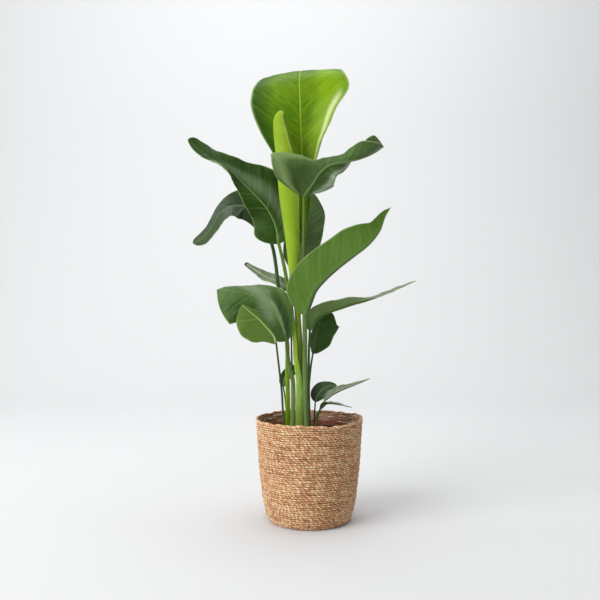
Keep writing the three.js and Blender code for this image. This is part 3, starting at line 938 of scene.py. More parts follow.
@dataclass(frozen=True)
class Sheath:
    """The thin wing of a stalk's foot, which wraps the stalk beside it.

    Attributes:
        line: its middle from the soil up, each point [x, height, depth, half its width].
        foot: its colour in the soil.
        tip: its colour at the top.
        curl: how far its middle stands out before its sides, in millimetres.
        thickness: half its thickness, in millimetres.
        columns: its faces round.
        rows: its faces along.
    """

    line: Rows
    foot: int
    tip: int
    curl: float = 5
    thickness: float = 0.9
    columns: int = 32
    rows: int = 60

    GREENS = (0.0, 0.8)

    def build(self, name: str, finish: BladeFinish) -> bpy.types.Object:
        """Builds the wing.

        Args:
            name: the wing's name.
            finish: the finish of its leaf.

        Returns:
            The wing.
        """
        table = np.asarray(self.line, float)
        spine = Spine(ELEVATION.place(table[:, :3]))
        shares = np.linspace(0, 1, self.rows + 1)
        tangents = spine.tangent(shares)
        ups = square_to(np.tile(FRONT, (len(shares), 1)), tangents)
        wide = np.interp(shares, np.linspace(0, 1, len(table)), table[:, 3]) * MM
        widest = wide.max()

        def outline(angle: np.ndarray, row: np.ndarray) -> tuple[np.ndarray, np.ndarray]:
            """A flat ring that bulges to the front in its middle.

            Args:
                angle: the angles round the ring.
                row: the ring that each point is on.

            Returns:
                How far the points lie across and up, in metres.
            """
            across = wide[row] * np.sin(angle)
            rise = self.curl * MM * (1 - (across / widest) ** 2)
            thick = self.thickness * MM * np.sqrt(wide[row] / widest)
            return -across, rise + thick * np.cos(angle)

        wing = sheet(name, self.columns, self.rows, ring_formula(spine.at(shares), ups, tangents, outline))
        girth = 4 * widest
        lay_map(wing, lambda across, on: np.column_stack([across * girth, on * spine.length]) * CM_PER_M)
        tones = replace(finish, foot=self.foot, stalk=self.tip, greens=self.GREENS)
        wing.data.materials.append(tones.stem(name, 1.0))
        return close(wing, STALK_SHARP)


@dataclass
class Leaf:
    """One leaf: a stalk out of the soil, which runs on as the midrib of a thin waved blade.

    Points are [x, height, depth] of the front elevation, in millimetres.

    Attributes:
        name: the name of its solid.
        age: how old it is; not used.
        finish: its colours.
        stalk: the stalk's points, from the soil to the blade.
        radius: the stalk's radius at its foot and under the blade.
        rib: the midrib's points, from base to tip.
        face: the way that the upper side faces, evenly spaced along the midrib.
        left: the half on the left of the midrib, seen from the upper side with the tip ahead.
        right: the other half.
        wave: the margin's waves: their height in millimetres, their number and where they start.
        pleats: how deep the folds between the veins are, on the left and on the right.
        sheath: the wing of the stalk's foot, if it has one.
        thickness: the blade's thickness in metres.
        columns: the blade's faces across.
        row_length: the length of its faces, in metres.
        stalk_sides: the stalk's faces round.
        spine: the midrib as a smooth line.
    """

    name: str
    age: Age
    finish: BladeFinish
    stalk: Rows
    radius: tuple[float, float]
    rib: Rows
    face: Rows
    left: Half
    right: Half
    wave: tuple[float, float, float] = (0.0, 1.0, 0.0)
    pleats: tuple[float, float] = (0.25, 0.25)
    sheath: Sheath | None = None
    thickness: float = 0.0007
    columns: int = 56
    row_length: float = 0.0026
    stalk_sides: int = 20
    spine: Spine = field(init=False)

    NARROWEST = 0.35
    CHANNEL = 0.42
    CROWDING = 1.2
    BLADE_ROWS = (24, 150)
    STALK_STEP = 0.006
    STALK_ROWS = 12
    KEEL_END = 0.985
    KEEL_SIZE = 0.92
    KEEL_LEAST = 0.0003
    KEEL_SUNK = 0.82
    KEEL_FLAT = 0.2
    GROOVE_DEPTH = 0.34
    GROOVE_ANGLE = 0.62
    OVAL = 0.98

    def __post_init__(self) -> None:
        """Measures the midrib."""
        self.spine = Spine(ELEVATION.place(self.rib))

    def frame(self, t: np.ndarray) -> tuple[np.ndarray, np.ndarray, np.ndarray, np.ndarray]:
        """Reads the midrib.

        Args:
            t: the shares along it.

        Returns:
            Its points, its directions, the ways that the blade faces and the ways to its right.
        """
        tangent = self.spine.tangent(t)
        normal = square_to(along(self.face, t), tangent)
        return self.spine.at(t), tangent, normal, np.cross(tangent, normal)

    def _half(self, half: Half, t: np.ndarray) -> tuple[np.ndarray, np.ndarray, np.ndarray]:
        """Reads a half of the blade.

        Args:
            half: the half.
            t: the shares along it.

        Returns:
            Its widths in metres, and its lifts and curls in radians.
        """
        ends = rounded(t / half.ends[0]) * rounded((1 - t) / half.ends[1])
        width = np.maximum(self.NARROWEST, along(half.width, t) * ends) * MM
        curl = np.radians(along(half.curl, t))
        least_curl = 1e-4
        curl = np.where(np.abs(curl) < least_curl, least_curl, curl)
        return width, np.radians(along(half.lift, t)), curl

    def _shape(self, t: np.ndarray, right: np.ndarray) -> tuple[np.ndarray, np.ndarray, np.ndarray]:
        """Reads the half that each point lies on.

        Args:
            t: the shares along the blade.
            right: whether each point is on the right half.

        Returns:
            The widths in metres, and the lifts and curls in radians.
        """
        sides = zip(self._half(self.right, t), self._half(self.left, t))
        width, lift, curl = (np.where(right, on_right, on_left) for on_right, on_left in sides)
        return width, lift, curl

    def _relief(
        self, t: np.ndarray, share: np.ndarray, width: np.ndarray, right: np.ndarray
    ) -> np.ndarray:
        """How far the surface stands off its smooth form: the midrib's channel, pleats and ripples.

        Args:
            t: the shares along the blade.
            share: the shares from the midrib to the margin.
            width: the half's widths there.
            right: whether each point is on the right half.

        Returns:
            The heights in metres.
        """
        away = share * width / MM
        shift = np.where(right, 3.0, 0.0)
        line = t * self.spine.length / MM - self.finish.slope * away + shift
        swell = 0.7 * np.sin(line / 1.35) + np.sin(line / 2.3 + 1.3) + 1.3 * np.sin(line / 5.1 + 0.4)
        fade = smooth(0.02, 0.3, share) * smooth(0, 0.1, t) * smooth(0, 0.12, 1 - t)
        ripple = share**3 * (np.sin(line / 6.4 + 2.0) + np.sin(line / 11.7)) * 0.45 * fade
        depth = self.radius[1] * (1 - 0.8 * t) * self.CHANNEL
        spread = self.radius[1] * (1.1 - 0.8 * t)
        groove = depth * np.exp(-((away / spread) ** 2)) * smooth(0, 0.03, 1 - t)
        pleat = np.where(right, self.pleats[1], self.pleats[0])
        return (pleat * swell * fade + ripple - groove) * MM

    def _surface(self, across: np.ndarray, on: np.ndarray) -> np.ndarray:
        """The formula of the blade's middle surface.

        Args:
            across: the shares from the left margin to the right one.
            on: the shares from the first row to the last.

        Returns:
            The places in metres.
        """
        t = self._spaced(on)
        offset = 2 * across - 1
        right = offset > 0
        share = np.abs(offset) ** self.CROWDING
        width, lift, curl = self._shape(t, right)
        turn = lift + curl * share
        out = width * (np.sin(turn) - np.sin(lift)) / curl
        up = width * (np.cos(lift) - np.cos(turn)) / curl
        height, count, start = self.wave
        widest = np.where(right, max(self.right.width), max(self.left.width)) * MM
        wave = height * MM * share**1.5 * np.sin(TURN * (count * t + start))
        up = up + wave * np.minimum(1, width / (0.5 * widest))
        point, _, normal, side = self.frame(t)
        side = side * np.sign(offset)[:, None]
        relief = self._relief(t, share, width, right)[:, None]
        outward = normal * np.cos(turn)[:, None] - side * np.sin(turn)[:, None]
        return point + side * out[:, None] + normal * up[:, None] + outward * relief

    @staticmethod
    def _spaced(on: np.ndarray) -> np.ndarray:
        """Rows that lie closer together towards both ends."""
        return 0.45 * on + 0.55 * (1 - np.cos(math.pi * on)) / 2

    def _lay(self, across: np.ndarray, on: np.ndarray) -> np.ndarray:
        """The formula of the blade's second map.

        Args:
            across: the shares from the left margin to the right one.
            on: the shares from the first row to the last.

        Returns:
            The centimetres from the midrib and along it.
        """
        t = self._spaced(on)
        offset = 2 * across - 1
        width, _, _ = self._shape(t, offset > 0)
        away = np.sign(offset) * np.abs(offset) ** self.CROWDING * width
        return np.column_stack([away, t * self.spine.length]) * CM_PER_M

    def _blade(self) -> bpy.types.Object:
        """The blade, with a material for each side and one for its margin.

        Returns:
            The blade.
        """
        rows = int(np.clip(self.spine.length / self.row_length, *self.BLADE_ROWS))
        blade = sheet(self.name + "_blade", self.columns, rows, self._surface)
        lay_map(blade, self._lay)
        for made in (self.finish.upper, self.finish.lower, self.finish.edge):
            blade.data.materials.append(made(f"{self.name}_{made.__name__}"))
        return thicken(blade, self.thickness, use_quality_normals=True)

    def _stalk_line(self) -> tuple[np.ndarray, np.ndarray, np.ndarray, np.ndarray, np.ndarray]:
        """The stalk and then the keel under the blade, row by row.

        Returns:
            The points, the channel's directions, the line's directions, the radii in metres, and
            how far each row has gone from stalk to keel.
        """
        stem = Spine(ELEVATION.place(self.stalk))
        low, high = (
            np.linspace(0, 1, max(self.STALK_ROWS, int(line.length / self.STALK_STEP)))
            for line in (stem, self.spine)
        )
        high = high[1:] * self.KEEL_END
        foot, top = (radius * MM for radius in self.radius)
        under = top * (1 - high) ** 0.8 * self.KEEL_SIZE + self.KEEL_LEAST
        point, tangent, normal, _ = self.frame(high)
        drop = self.KEEL_SUNK * under * smooth(-0.02, 0.1, high) + 0.0002
        points = np.concatenate([stem.at(low), point - normal * drop[:, None]])
        tangents = np.concatenate([stem.tangent(low), tangent])
        first = np.tile(np.asarray(self.face[0], float), (len(low), 1))
        ups = np.concatenate([square_to(first, stem.tangent(low)), normal])
        radii = np.concatenate([foot + (top - foot) * low, under])
        keel = np.concatenate([low * 0, smooth(0, 0.08, high)])
        return points, ups, tangents, radii, keel

    def _stem(self) -> bpy.types.Object:
        """The channelled stalk and the keel, as one closed tube.

        Returns:
            The tube.
        """
        points, ups, tangents, radii, keel = self._stalk_line()
        radii[[0, -1]] = 0

        def outline(angle: np.ndarray, row: np.ndarray) -> tuple[np.ndarray, np.ndarray]:
            """A ring with a channel on the upper side of the stalk.

            Args:
                angle: the angles round the ring.
                row: the ring that each point is on.

            Returns:
                How far the points lie across and up, in metres.
            """
            radius = radii[row]
            dip = self.GROOVE_DEPTH * np.exp(-((angle / self.GROOVE_ANGLE) ** 2))
            flat = 1 - self.KEEL_FLAT * keel[row] * (np.cos(angle) > 0)
            return -radius * np.sin(angle) * self.OVAL, radius * (np.cos(angle) * flat - dip)

        tube = ring_formula(points, ups, tangents, outline)
        stem = sheet(self.name + "_stem", self.stalk_sides, len(points) - 1, tube)
        length = float(np.sum(np.linalg.norm(np.diff(points, axis=0), axis=1)))
        girth = TURN * self.radius[0] * MM
        lay_map(stem, lambda across, on: np.column_stack([across * girth, on * length]) * CM_PER_M)
        blade_from = float(np.argmax(keel > 0)) / len(points)
        stem.data.materials.append(self.finish.stem(self.name + "_stem", blade_from))
        return close(stem, STALK_SHARP)

    def build(self) -> bpy.types.Object:
        """Builds the leaf and puts it in the place of its solid.

        Returns:
            The finished leaf.
        """
        parts = [self._blade(), self._stem()]
        if self.sheath:
            parts.append(self.sheath.build(self.name + "_sheath", self.finish))
        return stand_for(joined(parts, "grown_" + self.name), self.name)


@dataclass
class RolledLeaf:
    """The newest leaf, still rolled up.

    Attributes:
        name: the name of its solid.
        finish: its colours.
        line: its middle from the soil to its tip, each point [x, height, depth, radius].
        turns: how often the blade goes round.
        unrolled_from: the share of the line at which the blade leaves the stalk.
        depth: its size from front to back, as a share of its width.
        lip: where the outer edge lies, in radians from the front, evenly spaced from foot to tip.
        thickness: the blade's thickness in metres.
        rows: the blade's faces along.
        columns: its faces across.
        stalk_rows: the stalk's faces along.
        stalk_sides: its faces round.
    """

    name: str
    finish: BladeFinish
    line: Rows
    turns: float = 1.7
    unrolled_from: float = 0.36
    depth: float = 0.8
    lip: Sequence[float] = (1.25, 1.0, 0.75, 0.5, 0.35)
    thickness: float = 0.0007
    rows: int = 120
    columns: int = 72
    stalk_rows: int = 69
    stalk_sides: int = 20

    LEAST_RADIUS = 0.8
    TIGHTER_INSIDE = 0.22
    RUFFLE = 0.0006
    BLADE_LAY = (6, 45)
    STALK_LAY = (3.2, 30)
    STALK_INTO_ROLL = 0.06
    STALK_SIZE = 0.96

    def _centres(self, t: np.ndarray) -> tuple[np.ndarray, np.ndarray, np.ndarray, np.ndarray]:
        """Reads the line.

        Args:
            t: the shares of the table.

        Returns:
            Its points, the ways to its front, its directions and its radii.
        """
        points = ELEVATION.place([row[:3] for row in self.line])
        centres = along(points, t)
        ahead, behind = (along(points, np.clip(t + near, 0, 1)) for near in (Spine.NEAR, -Spine.NEAR))
        tangents = unit(ahead - behind)
        fronts = square_to(np.tile(FRONT, (len(t), 1)), tangents)
        radii = np.maximum(along([row[3] for row in self.line], t), self.LEAST_RADIUS) * MM
        return centres, fronts, tangents, radii

    def _roll(self) -> bpy.types.Object:
        """The blade as one sheet wound on itself, its outer edge lying over the roll.

        Returns:
            The blade.
        """
        def place(across: np.ndarray, on: np.ndarray) -> np.ndarray:
            """Winds the sheet round the line.

            Args:
                across: the shares across the grid.
                on: the shares from its first row to its last.

            Returns:
                The places in metres.
            """
            t = self.unrolled_from + (1 - self.unrolled_from) * on
            centres, fronts, tangents, radii = self._centres(t)
            angle = (across - 1) * self.turns * TURN
            tight = 1 - self.TIGHTER_INSIDE * (1 - across)
            ruffle = self.RUFFLE * np.sin(60 * on + 3 * across) * smooth(0.8, 1, across)
            radius = radii * tight + ruffle
            sides = np.cross(tangents, fronts)
            lip = along(self.lip, on)
            x = radius * np.sin(angle + lip)
            y = self.depth * radius * np.cos(angle + lip)
            return centres + sides * x[:, None] + fronts * y[:, None]

        roll = sheet(self.name + "_roll", self.columns, self.rows, place)
        wide, long = self.BLADE_LAY
        lay_map(roll, lambda across, on: np.column_stack([wide * (1 - across), long * on]))
        for made in (self.finish.lower, self.finish.upper, self.finish.edge):
            roll.data.materials.append(made(f"{self.name}_{made.__name__}"))
        return thicken(roll, self.thickness)

    def _stem(self) -> bpy.types.Object:
        """The stalk under the roll.

        Returns:
            The stalk.
        """
        shares = np.linspace(0, self.unrolled_from + self.STALK_INTO_ROLL, self.stalk_rows + 1)
        centres, fronts, tangents, radii = self._centres(shares)
        radii = radii * self.STALK_SIZE
        radii[[0, -1]] = 0

        def outline(angle: np.ndarray, row: np.ndarray) -> tuple[np.ndarray, np.ndarray]:
            """An oval ring."""
            return -radii[row] * np.sin(angle), radii[row] * np.cos(angle) * self.depth

        tube = ring_formula(centres, fronts, tangents, outline)
        stem = sheet(self.name + "_stem", self.stalk_sides, self.stalk_rows, tube)
        wide, long = self.STALK_LAY
        lay_map(stem, lambda across, on: np.column_stack([wide * across, long * on]))
        stem.data.materials.append(self.finish.stem(self.name + "_stem", 1.0))
        return close(stem, STALK_SHARP)

    def build(self) -> bpy.types.Object:
        """Builds the rolled leaf and puts it in the place of its solid.

        Returns:
            The finished leaf.
        """
        leaf = joined([self._roll(), self._stem()], "grown_" + self.name)
        return stand_for(leaf, self.name)


# ------------------------------------------------------------------ basket, pot and soil
@dataclass
class Basket:
    """A basket of one long cord of twisted seagrass, coiled up from the middle of its base.

    Attributes:
        height: its height in millimetres.
        rows: the rows of cord in its wall.
        wall: the thickness of the wall in millimetres.
        side: its outline, each point [height, radius] in millimetres.
        lay_length: the length of cord over which a strand goes round once per strand, in millimetres.
        steps_per_turn: the cord's faces along one row.
        cord_sides: its faces round.
        base_turns: how often the cord goes round in the base.
        base_steps: its faces there.
        loose_fibres: how many ends of grass stand off the wall.
        finish: the look of the seagrass.
    """

    height: float = 202.0
    rows: int = 50
    wall: float = 5.2
    side: Rows = (
        (0, 78), (6, 83), (13, 86), (25, 89.5), (49, 94), (79, 97.5), (114, 101), (158, 103.5),
        (190, 105.5), (202, 106.3),
    )
    lay_length: float = 7.8
    steps_per_turn: int = 400
    cord_sides: int = 8
    base_turns: float = 12.6
    base_steps: int = 1899
    loose_fibres: int = 170
    finish: SeagrassFinish = SeagrassFinish()

    SQUEEZE = 0.56
    BULGE = 0.25
    PLY_DEPTH = 0.26
    GRAIN = 0.03
    LUMPS = 0.1
    LUMP_STEPS = 5
    TAPER = 3
    LAP = 0.003
    FIBRES_FROM = 8
    FIBRES_BELOW_RIM = 3
    FIBRE_LENGTH = (5, 14)
    FIBRE_LIFT = (0.3, 1.7)
    FIBRE_SLOPE = (-0.35, 0.35)
    FIBRE_THICK = (0.16, 0.34)
    FIBRE_SUNK = 0.2
    FIBRE_WIDTHS = (0, 1, 1, 0.9, 0.6, 0)
    FIBRE_SIDES = 4
    FIBRE_FLAT = 1.8
    FIBRE_LOWEST = 1.0

    @property
    def pitch(self) -> float:
        """The height of a row of cord, in millimetres."""
        return self.height / self.rows

    @property
    def cord_tall(self) -> float:
        """Half the height of a row of cord, which is pressed a little into its neighbours."""
        return self.pitch * self.SQUEEZE

    def radius(self, height: np.ndarray) -> np.ndarray:
        """The radius of the basket's outside at each height, in millimetres."""
        heights, radii = np.asarray(self.side, float).T
        return np.interp(height, heights, radii)

    def _cord_line(self, turns: np.ndarray) -> np.ndarray:
        """The middle of the cord in the wall, which sways a little and more so at the rim.

        Args:
            turns: how often the cord has gone round.

        Returns:
            The points in millimetres.
        """
        angle = turns * TURN + math.pi / 2
        climb = np.minimum(turns, self.rows - 1) / (self.rows - 1)
        height = self.cord_tall + (self.height - 2 * self.cord_tall) * climb
        rise = (height / self.height) ** 2
        spread = 1 + rise * (0.006 * np.sin(2 * angle + 0.6) + 0.004 * np.sin(5 * angle))
        radius = (self.radius(height) - self.wall / 2) * spread
        sway = 0.25 * np.sin(5.3 * angle) + 0.2 * np.sin(2.1 * angle + 1)
        frill = 0.7 * np.sin(17 * angle) + 0.6 * np.sin(29 * angle + 2)
        up = rise * (1.1 * np.sin(3 * angle + 1) + 0.7 * np.sin(7 * angle)) + sway * smooth(1, 3, turns)
        up = up + frill * smooth(self.rows - 2.5, self.rows - 1, turns)
        radius = radius + 0.4 * np.sin(7.3 * angle) + 0.35 * np.sin(18.7 * angle + 1)
        return np.column_stack([radius * np.cos(angle), radius * np.sin(angle), height + up])

    def _base_line(self, turns: np.ndarray) -> np.ndarray:
        """The middle of the cord in the base.

        Args:
            turns: how often the cord has gone round, from the middle out.

        Returns:
            The points in millimetres.
        """
        angle = turns * TURN + math.pi / 2
        last = float(turns[-1])
        start = float(self.radius(np.array([self.pitch / 2]))[0]) - self.wall / 2
        radius = np.maximum(start - self.pitch * (last - turns), 0.5)
        height = np.full_like(turns, self.pitch / 2)
        return np.column_stack([radius * np.cos(angle), radius * np.sin(angle), height])

    def _cord(
        self, name: str, line: np.ndarray, ups: np.ndarray, tall: float, deep: float
    ) -> bpy.types.Object:
        """A length of twisted cord, pressed flat where it lies on the floor.

        Args:
            name: the object's name.
            line: the middle of the cord, in millimetres.
            ups: the direction of its tall side at each point.
            tall: half its size along that side, in millimetres.
            deep: half its size across it, in millimetres.

        Returns:
            The cord.
        """
        steps = np.linalg.norm(np.diff(line, axis=0), axis=1)
        run = np.concatenate([[0], np.cumsum(steps)])
        tangents = unit(np.gradient(line, axis=0))
        ups = square_to(ups, tangents)
        chance = np.random.default_rng(SEED)
        window = np.ones(self.LUMP_STEPS) / self.LUMP_STEPS
        grain = chance.normal(0, self.GRAIN, len(line))
        lump = grain + np.convolve(chance.normal(0, self.LUMPS, len(line)), window, "same")
        ends = smooth(0, self.TAPER, run) * smooth(0, self.TAPER, run[-1] - run)
        slack = 0.6 * np.sin(run / 61) + 0.5 * np.sin(run / 23.7 + 1) + 0.35 * np.sin(run / 13.1 + 2)
        wound = (run / self.lay_length + slack) / self.finish.plies

        def outline(angle: np.ndarray, row: np.ndarray) -> tuple[np.ndarray, np.ndarray]:
            """A ring of strands, turned as far as the cord is wound there.

            Args:
                angle: the angles round the ring.
                row: the ring that each point is on.

            Returns:
                How far the points lie across and up, in metres.
            """
            twist = self.finish.plies * (angle / TURN + wound[row])
            ply = 1 - self.PLY_DEPTH * np.abs(np.sin(math.pi * twist)) ** 3
            size = (ply + lump[row]) * ends[row] * MM
            return -np.sin(angle) * deep * size, np.cos(angle) * tall * size

        round_cord = ring_formula(line * MM, ups, tangents, outline)

        def pressed(across: np.ndarray, on: np.ndarray) -> np.ndarray:
            """The round cord, kept above the floor."""
            return np.maximum(round_cord(across, on), [-np.inf, -np.inf, 0.0])

        cord = sheet(name, self.cord_sides, len(line) - 1, pressed)
        shares = np.linspace(0, 1, len(line))
        lay_map(cord, lambda across, on: np.column_stack([across, np.interp(on, shares, wound)]))
        return close(cord, CORD_SHARP, gap=1e-7)

    def _wall(self, name: str, first: float, last: float) -> bpy.types.Object:
        """Some rows of the wall.

        Args:
            name: the object's name.
            first: how often the cord has gone round at their start.
            last: how often it has at their end.

        Returns:
            The rows.
        """
        turns = np.linspace(first, last, int((last - first) * self.steps_per_turn) + 1)
        line = self._cord_line(turns)
        ups = np.tile(UPWARDS, (len(turns), 1))
        return self._cord(name, line, ups, self.cord_tall, self.wall / 2 + self.BULGE)

    def _base(self) -> bpy.types.Object:
        """The flat spiral of the base.

        Returns:
            The spiral.
        """
        line = self._base_line(np.linspace(0, self.base_turns, self.base_steps + 1))
        ups = unit(line * [1, 1, 0])
        return self._cord("basket_base_cord", line, ups, self.cord_tall, self.pitch / 2)

    def _fibres(self) -> bpy.types.Object:
        """Loose ends of seagrass that stand a little off the wall.

        Returns:
            All of them, joined.
        """
        chance = np.random.default_rng(SEED)
        fibres = []
        for number in range(self.loose_fibres):
            height = chance.uniform(self.FIBRES_FROM, self.height - self.FIBRES_BELOW_RIM)
            angle = chance.uniform(0, TURN)
            length = chance.uniform(*self.FIBRE_LENGTH)
            lifted = chance.uniform(*self.FIBRE_LIFT)
            slope = chance.normal(*self.FIBRE_SLOPE)
            thick = chance.uniform(*self.FIBRE_THICK)
            line = self._fibre_line(height, angle, length, lifted, slope)
            fibres.append(self._fibre(number, line, thick))
        fibres = joined(fibres, "basket_loose_fibres")
        weld(fibres)
        return fibres

    def _fibre_line(
        self, height: float, angle: float, length: float, lifted: float, slope: float
    ) -> np.ndarray:
        """The middle of a loose end of seagrass.

        Args:
            height: how high it starts, in millimetres.
            angle: where round the basket it starts.
            length: its length in millimetres.
            lifted: how far its end stands off the wall, in millimetres.
            slope: how steeply it climbs.

        Returns:
            The points in metres.
        """
        share = np.linspace(0, 1, len(self.FIBRE_WIDTHS))
        up = np.maximum(height + slope * length * share, self.FIBRE_LOWEST)
        radius = float(self.radius(np.array([height]))[0])
        turned = angle + length * share / radius
        out = radius - self.FIBRE_SUNK + lifted * share**2
        return np.column_stack([out * np.cos(turned), out * np.sin(turned), up]) * MM

    def _fibre(self, number: int, line: np.ndarray, thick: float) -> bpy.types.Object:
        """One loose end of seagrass.

        Args:
            number: its number.
            line: its middle, in metres.
            thick: its half thickness in millimetres.

        Returns:
            The fibre.
        """
        tangents = unit(np.gradient(line, axis=0))
        ups = square_to(unit(line * [1, 1, 0]), tangents)
        widths = thick * MM * np.array(self.FIBRE_WIDTHS)

        def outline(around: np.ndarray, row: np.ndarray) -> tuple[np.ndarray, np.ndarray]:
            """A flat ring."""
            return -np.sin(around) * widths[row] * self.FIBRE_FLAT, np.cos(around) * widths[row]

        tube = ring_formula(line, ups, tangents, outline)
        fibre = sheet(f"fibre_{number}", self.FIBRE_SIDES, len(line) - 1, tube)
        lay_map(fibre, lambda across, on: np.column_stack([across * 0.2 + 0.4 * number, on * 0.3]))
        return fibre

    def build(self) -> list[bpy.types.Object]:
        """Builds the basket in place of its solid.

        Returns:
            Its pieces.
        """
        middle = self.rows // 2
        grass = self.finish.material("seagrass")
        pieces = [
            self._wall("basket_lower_rows", 0, middle + self.LAP),
            self._wall("basket_upper_rows", middle - self.LAP, self.rows),
            self._base(),
            self._fibres(),
        ]
        for piece in pieces:
            piece.data.materials.append(grass)
            stand_for(piece, "basket")
        return pieces


@dataclass
class NurseryPot:
    """The thin plastic pot that the plant came in.

    Attributes:
        bottom: the height of its underside in millimetres.
        top: the height of its rim in millimetres.
        wall: the thickness of its wall in millimetres.
        floor: the thickness of its floor in millimetres.
        sides: its faces round.
        finish: its look.
    """

    bottom: float
    top: float
    wall: float = 1.6
    floor: float = 2.4
    sides: int = 96
    finish: PotFinish = PotFinish()

    AXIS = 0.02
    FOOT = 66

    def _profile(self) -> np.ndarray:
        """The outline of its wall, from the middle of its underside out, up, in and back.

        Returns:
            The points, each [radius, height over the underside] in millimetres.
        """
        rise = self.top - self.bottom
        outside = [
            (self.AXIS, 0), (63, 0), (self.FOOT, 0.6), (67.5, 2.5), (84, rise - 20), (84.2, rise - 19),
            (87.4, rise - 18.7), (87.9, rise - 18), (88.8, rise - 4), (89.1, rise - 1), (88.6, rise),
        ]
        inside = [(radius - self.wall, height) for radius, height in outside[::-1][1:-3]]
        return np.array(outside + inside + [(self.FOOT - self.wall, self.floor), (self.AXIS, self.floor)])

    def build(self) -> bpy.types.Object:
        """Builds the pot in place of its solid.

        Returns:
            The pot.
        """
        profile = self._profile()

        def place(across: np.ndarray, on: np.ndarray) -> np.ndarray:
            """Turns the outline round the axis.

            Args:
                across: the shares across the grid.
                on: the shares from its first row to its last.

            Returns:
                The places in metres.
            """
            radius, height = profile[np.rint(on * (len(profile) - 1)).astype(int)].T
            angle = -across * TURN
            x, y = radius * np.cos(angle), radius * np.sin(angle)
            return np.column_stack([x, y, height + self.bottom]) * MM

        pot = sheet("thin_nursery_pot", self.sides, len(profile) - 1, place)
        pot.data.materials.append(self.finish.material("nursery_plastic"))
        close(pot, POT_SHARP, gap=1e-6)
        return stand_for(pot, "nursery_pot")


@dataclass
class Soil:
    """Potting soil: a body with a rough top, and crumbs lying on it.

    Attributes:
        bottom: the height of its underside in millimetres.
        top: the height of its top in millimetres.
        rim: its radius at the top.
        foot: its radius at the underside.
        rings: the rows of faces on its top.
        sides: its faces round.
        crumbs: how many crumbs there are.
        strewn: the radius that they lie within.
        finish: its look.
    """

    bottom: float
    top: float = 172.0
    rim: float = 84.2
    foot: float = 63.5
    rings: int = 46
    sides: int = 150
    crumbs: int = 420
    strewn: float = 82
    finish: SoilFinish = SoilFinish()

    EDGE_WIDE = 5
    EDGE_DROP = 2
    CRUMB_SIZE = (0.9, 2.6)
    CRUMB_STRETCH = (0.6, 1.3)
    CRUMB_BUMPS = 0.22
    CRUMB_LIFT = 0.25

    def _height(self, x: np.ndarray, y: np.ndarray) -> np.ndarray:
        """The height of the soil's rough top.

        Args:
            x: the places across, in millimetres.
            y: the places from front to back, in millimetres.

        Returns:
            The heights in millimetres.
        """
        swell = 1.3 * np.sin(x / 9 + 1) * np.cos(y / 7) + 0.7 * np.sin(x / 4 - y / 5)
        clods = 0.5 * np.sin(x / 1.9 + 2 * np.sin(y / 3)) * np.cos(y / 1.7)
        return self.top + 0.6 + swell + clods

    def _body(self) -> bpy.types.Object:
        """The body of the soil, from the pot's floor to its rough top.

        Returns:
            The body.
        """
        rows = self.rings + 2

        def place(across: np.ndarray, on: np.ndarray) -> np.ndarray:
            """Lays the rows in rings, from the underside in.

            Args:
                across: the shares across the grid.
                on: the shares from its first row to its last.

            Returns:
                The places in metres.
            """
            angle = across * TURN
            ring = np.rint(on * rows)
            share = np.clip(1 - (ring - 2) / self.rings, 0, 1)
            radius = np.where(ring < 1, 0.0, np.where(ring < 2, self.foot, self.rim * share))
            x, y = radius * np.cos(angle), radius * np.sin(angle)
            edge = smooth(self.rim - self.EDGE_WIDE, self.rim, radius) * self.EDGE_DROP
            height = np.where(ring < 2, self.bottom, self._height(x, y) - edge)
            return np.column_stack([x, y, height]) * MM

        body = sheet("soil_body", self.sides, rows, place)
        weld(body, 1e-6)
        return body

    def _crumbs(self) -> list[bpy.types.Object]:
        """Crumbs of soil, each an uneven lump.

        Returns:
            The crumbs.
        """
        chance = np.random.default_rng(SEED)
        lumps = []
        deselect()
        bpy.ops.mesh.primitive_uv_sphere_add(segments=8, ring_count=5, radius=1)
        seed = bpy.context.active_object
        ball = corners(seed)
        for number in range(self.crumbs):
            distance = self.strewn * math.sqrt(chance.uniform(0, 1))
            angle = chance.uniform(0, TURN)
            x, y = distance * math.cos(angle), distance * math.sin(angle)
            size = chance.uniform(*self.CRUMB_SIZE)
            stretch = chance.uniform(*self.CRUMB_STRETCH, 3)
            swell = np.sin(ball @ chance.uniform(-5, 5, 3) + chance.uniform(0, TURN))
            bumps = 1 + self.CRUMB_BUMPS * swell
            z = float(self._height(np.array([x]), np.array([y]))[0]) + size * self.CRUMB_LIFT
            lump = seed.copy()
            lump.data = seed.data.copy()
            bpy.context.scene.collection.objects.link(lump)
            move_corners(lump, (ball * stretch * size * bumps[:, None] + [x, y, z]) * MM)
            lump.name = f"crumb_{number}"
            lumps.append(lump)
        bpy.data.objects.remove(seed)
        return lumps

    def build(self) -> bpy.types.Object:
        """Builds the soil in place of its solid.

        Returns:
            The soil.
        """
        soil = joined([self._body(), *self._crumbs()], "crumbly_soil")
        soil.data.materials.clear()
        soil.data.materials.append(self.finish.material("potting_soil"))
        face_outwards(soil)
        soften(soil, SOIL_SHARP)
        return stand_for(soil, "soil")


# ------------------------------------------------------------------ the plant
def finish_of(
    deep: int, light: int, under: int, rib: int, stalk: int, foot: int, **more: object
) -> BladeFinish:
    """Names the six colours of a leaf in order."""
    return BladeFinish(deep=deep, light=light, under=under, rib=rib, stalk=stalk, foot=foot, **more)


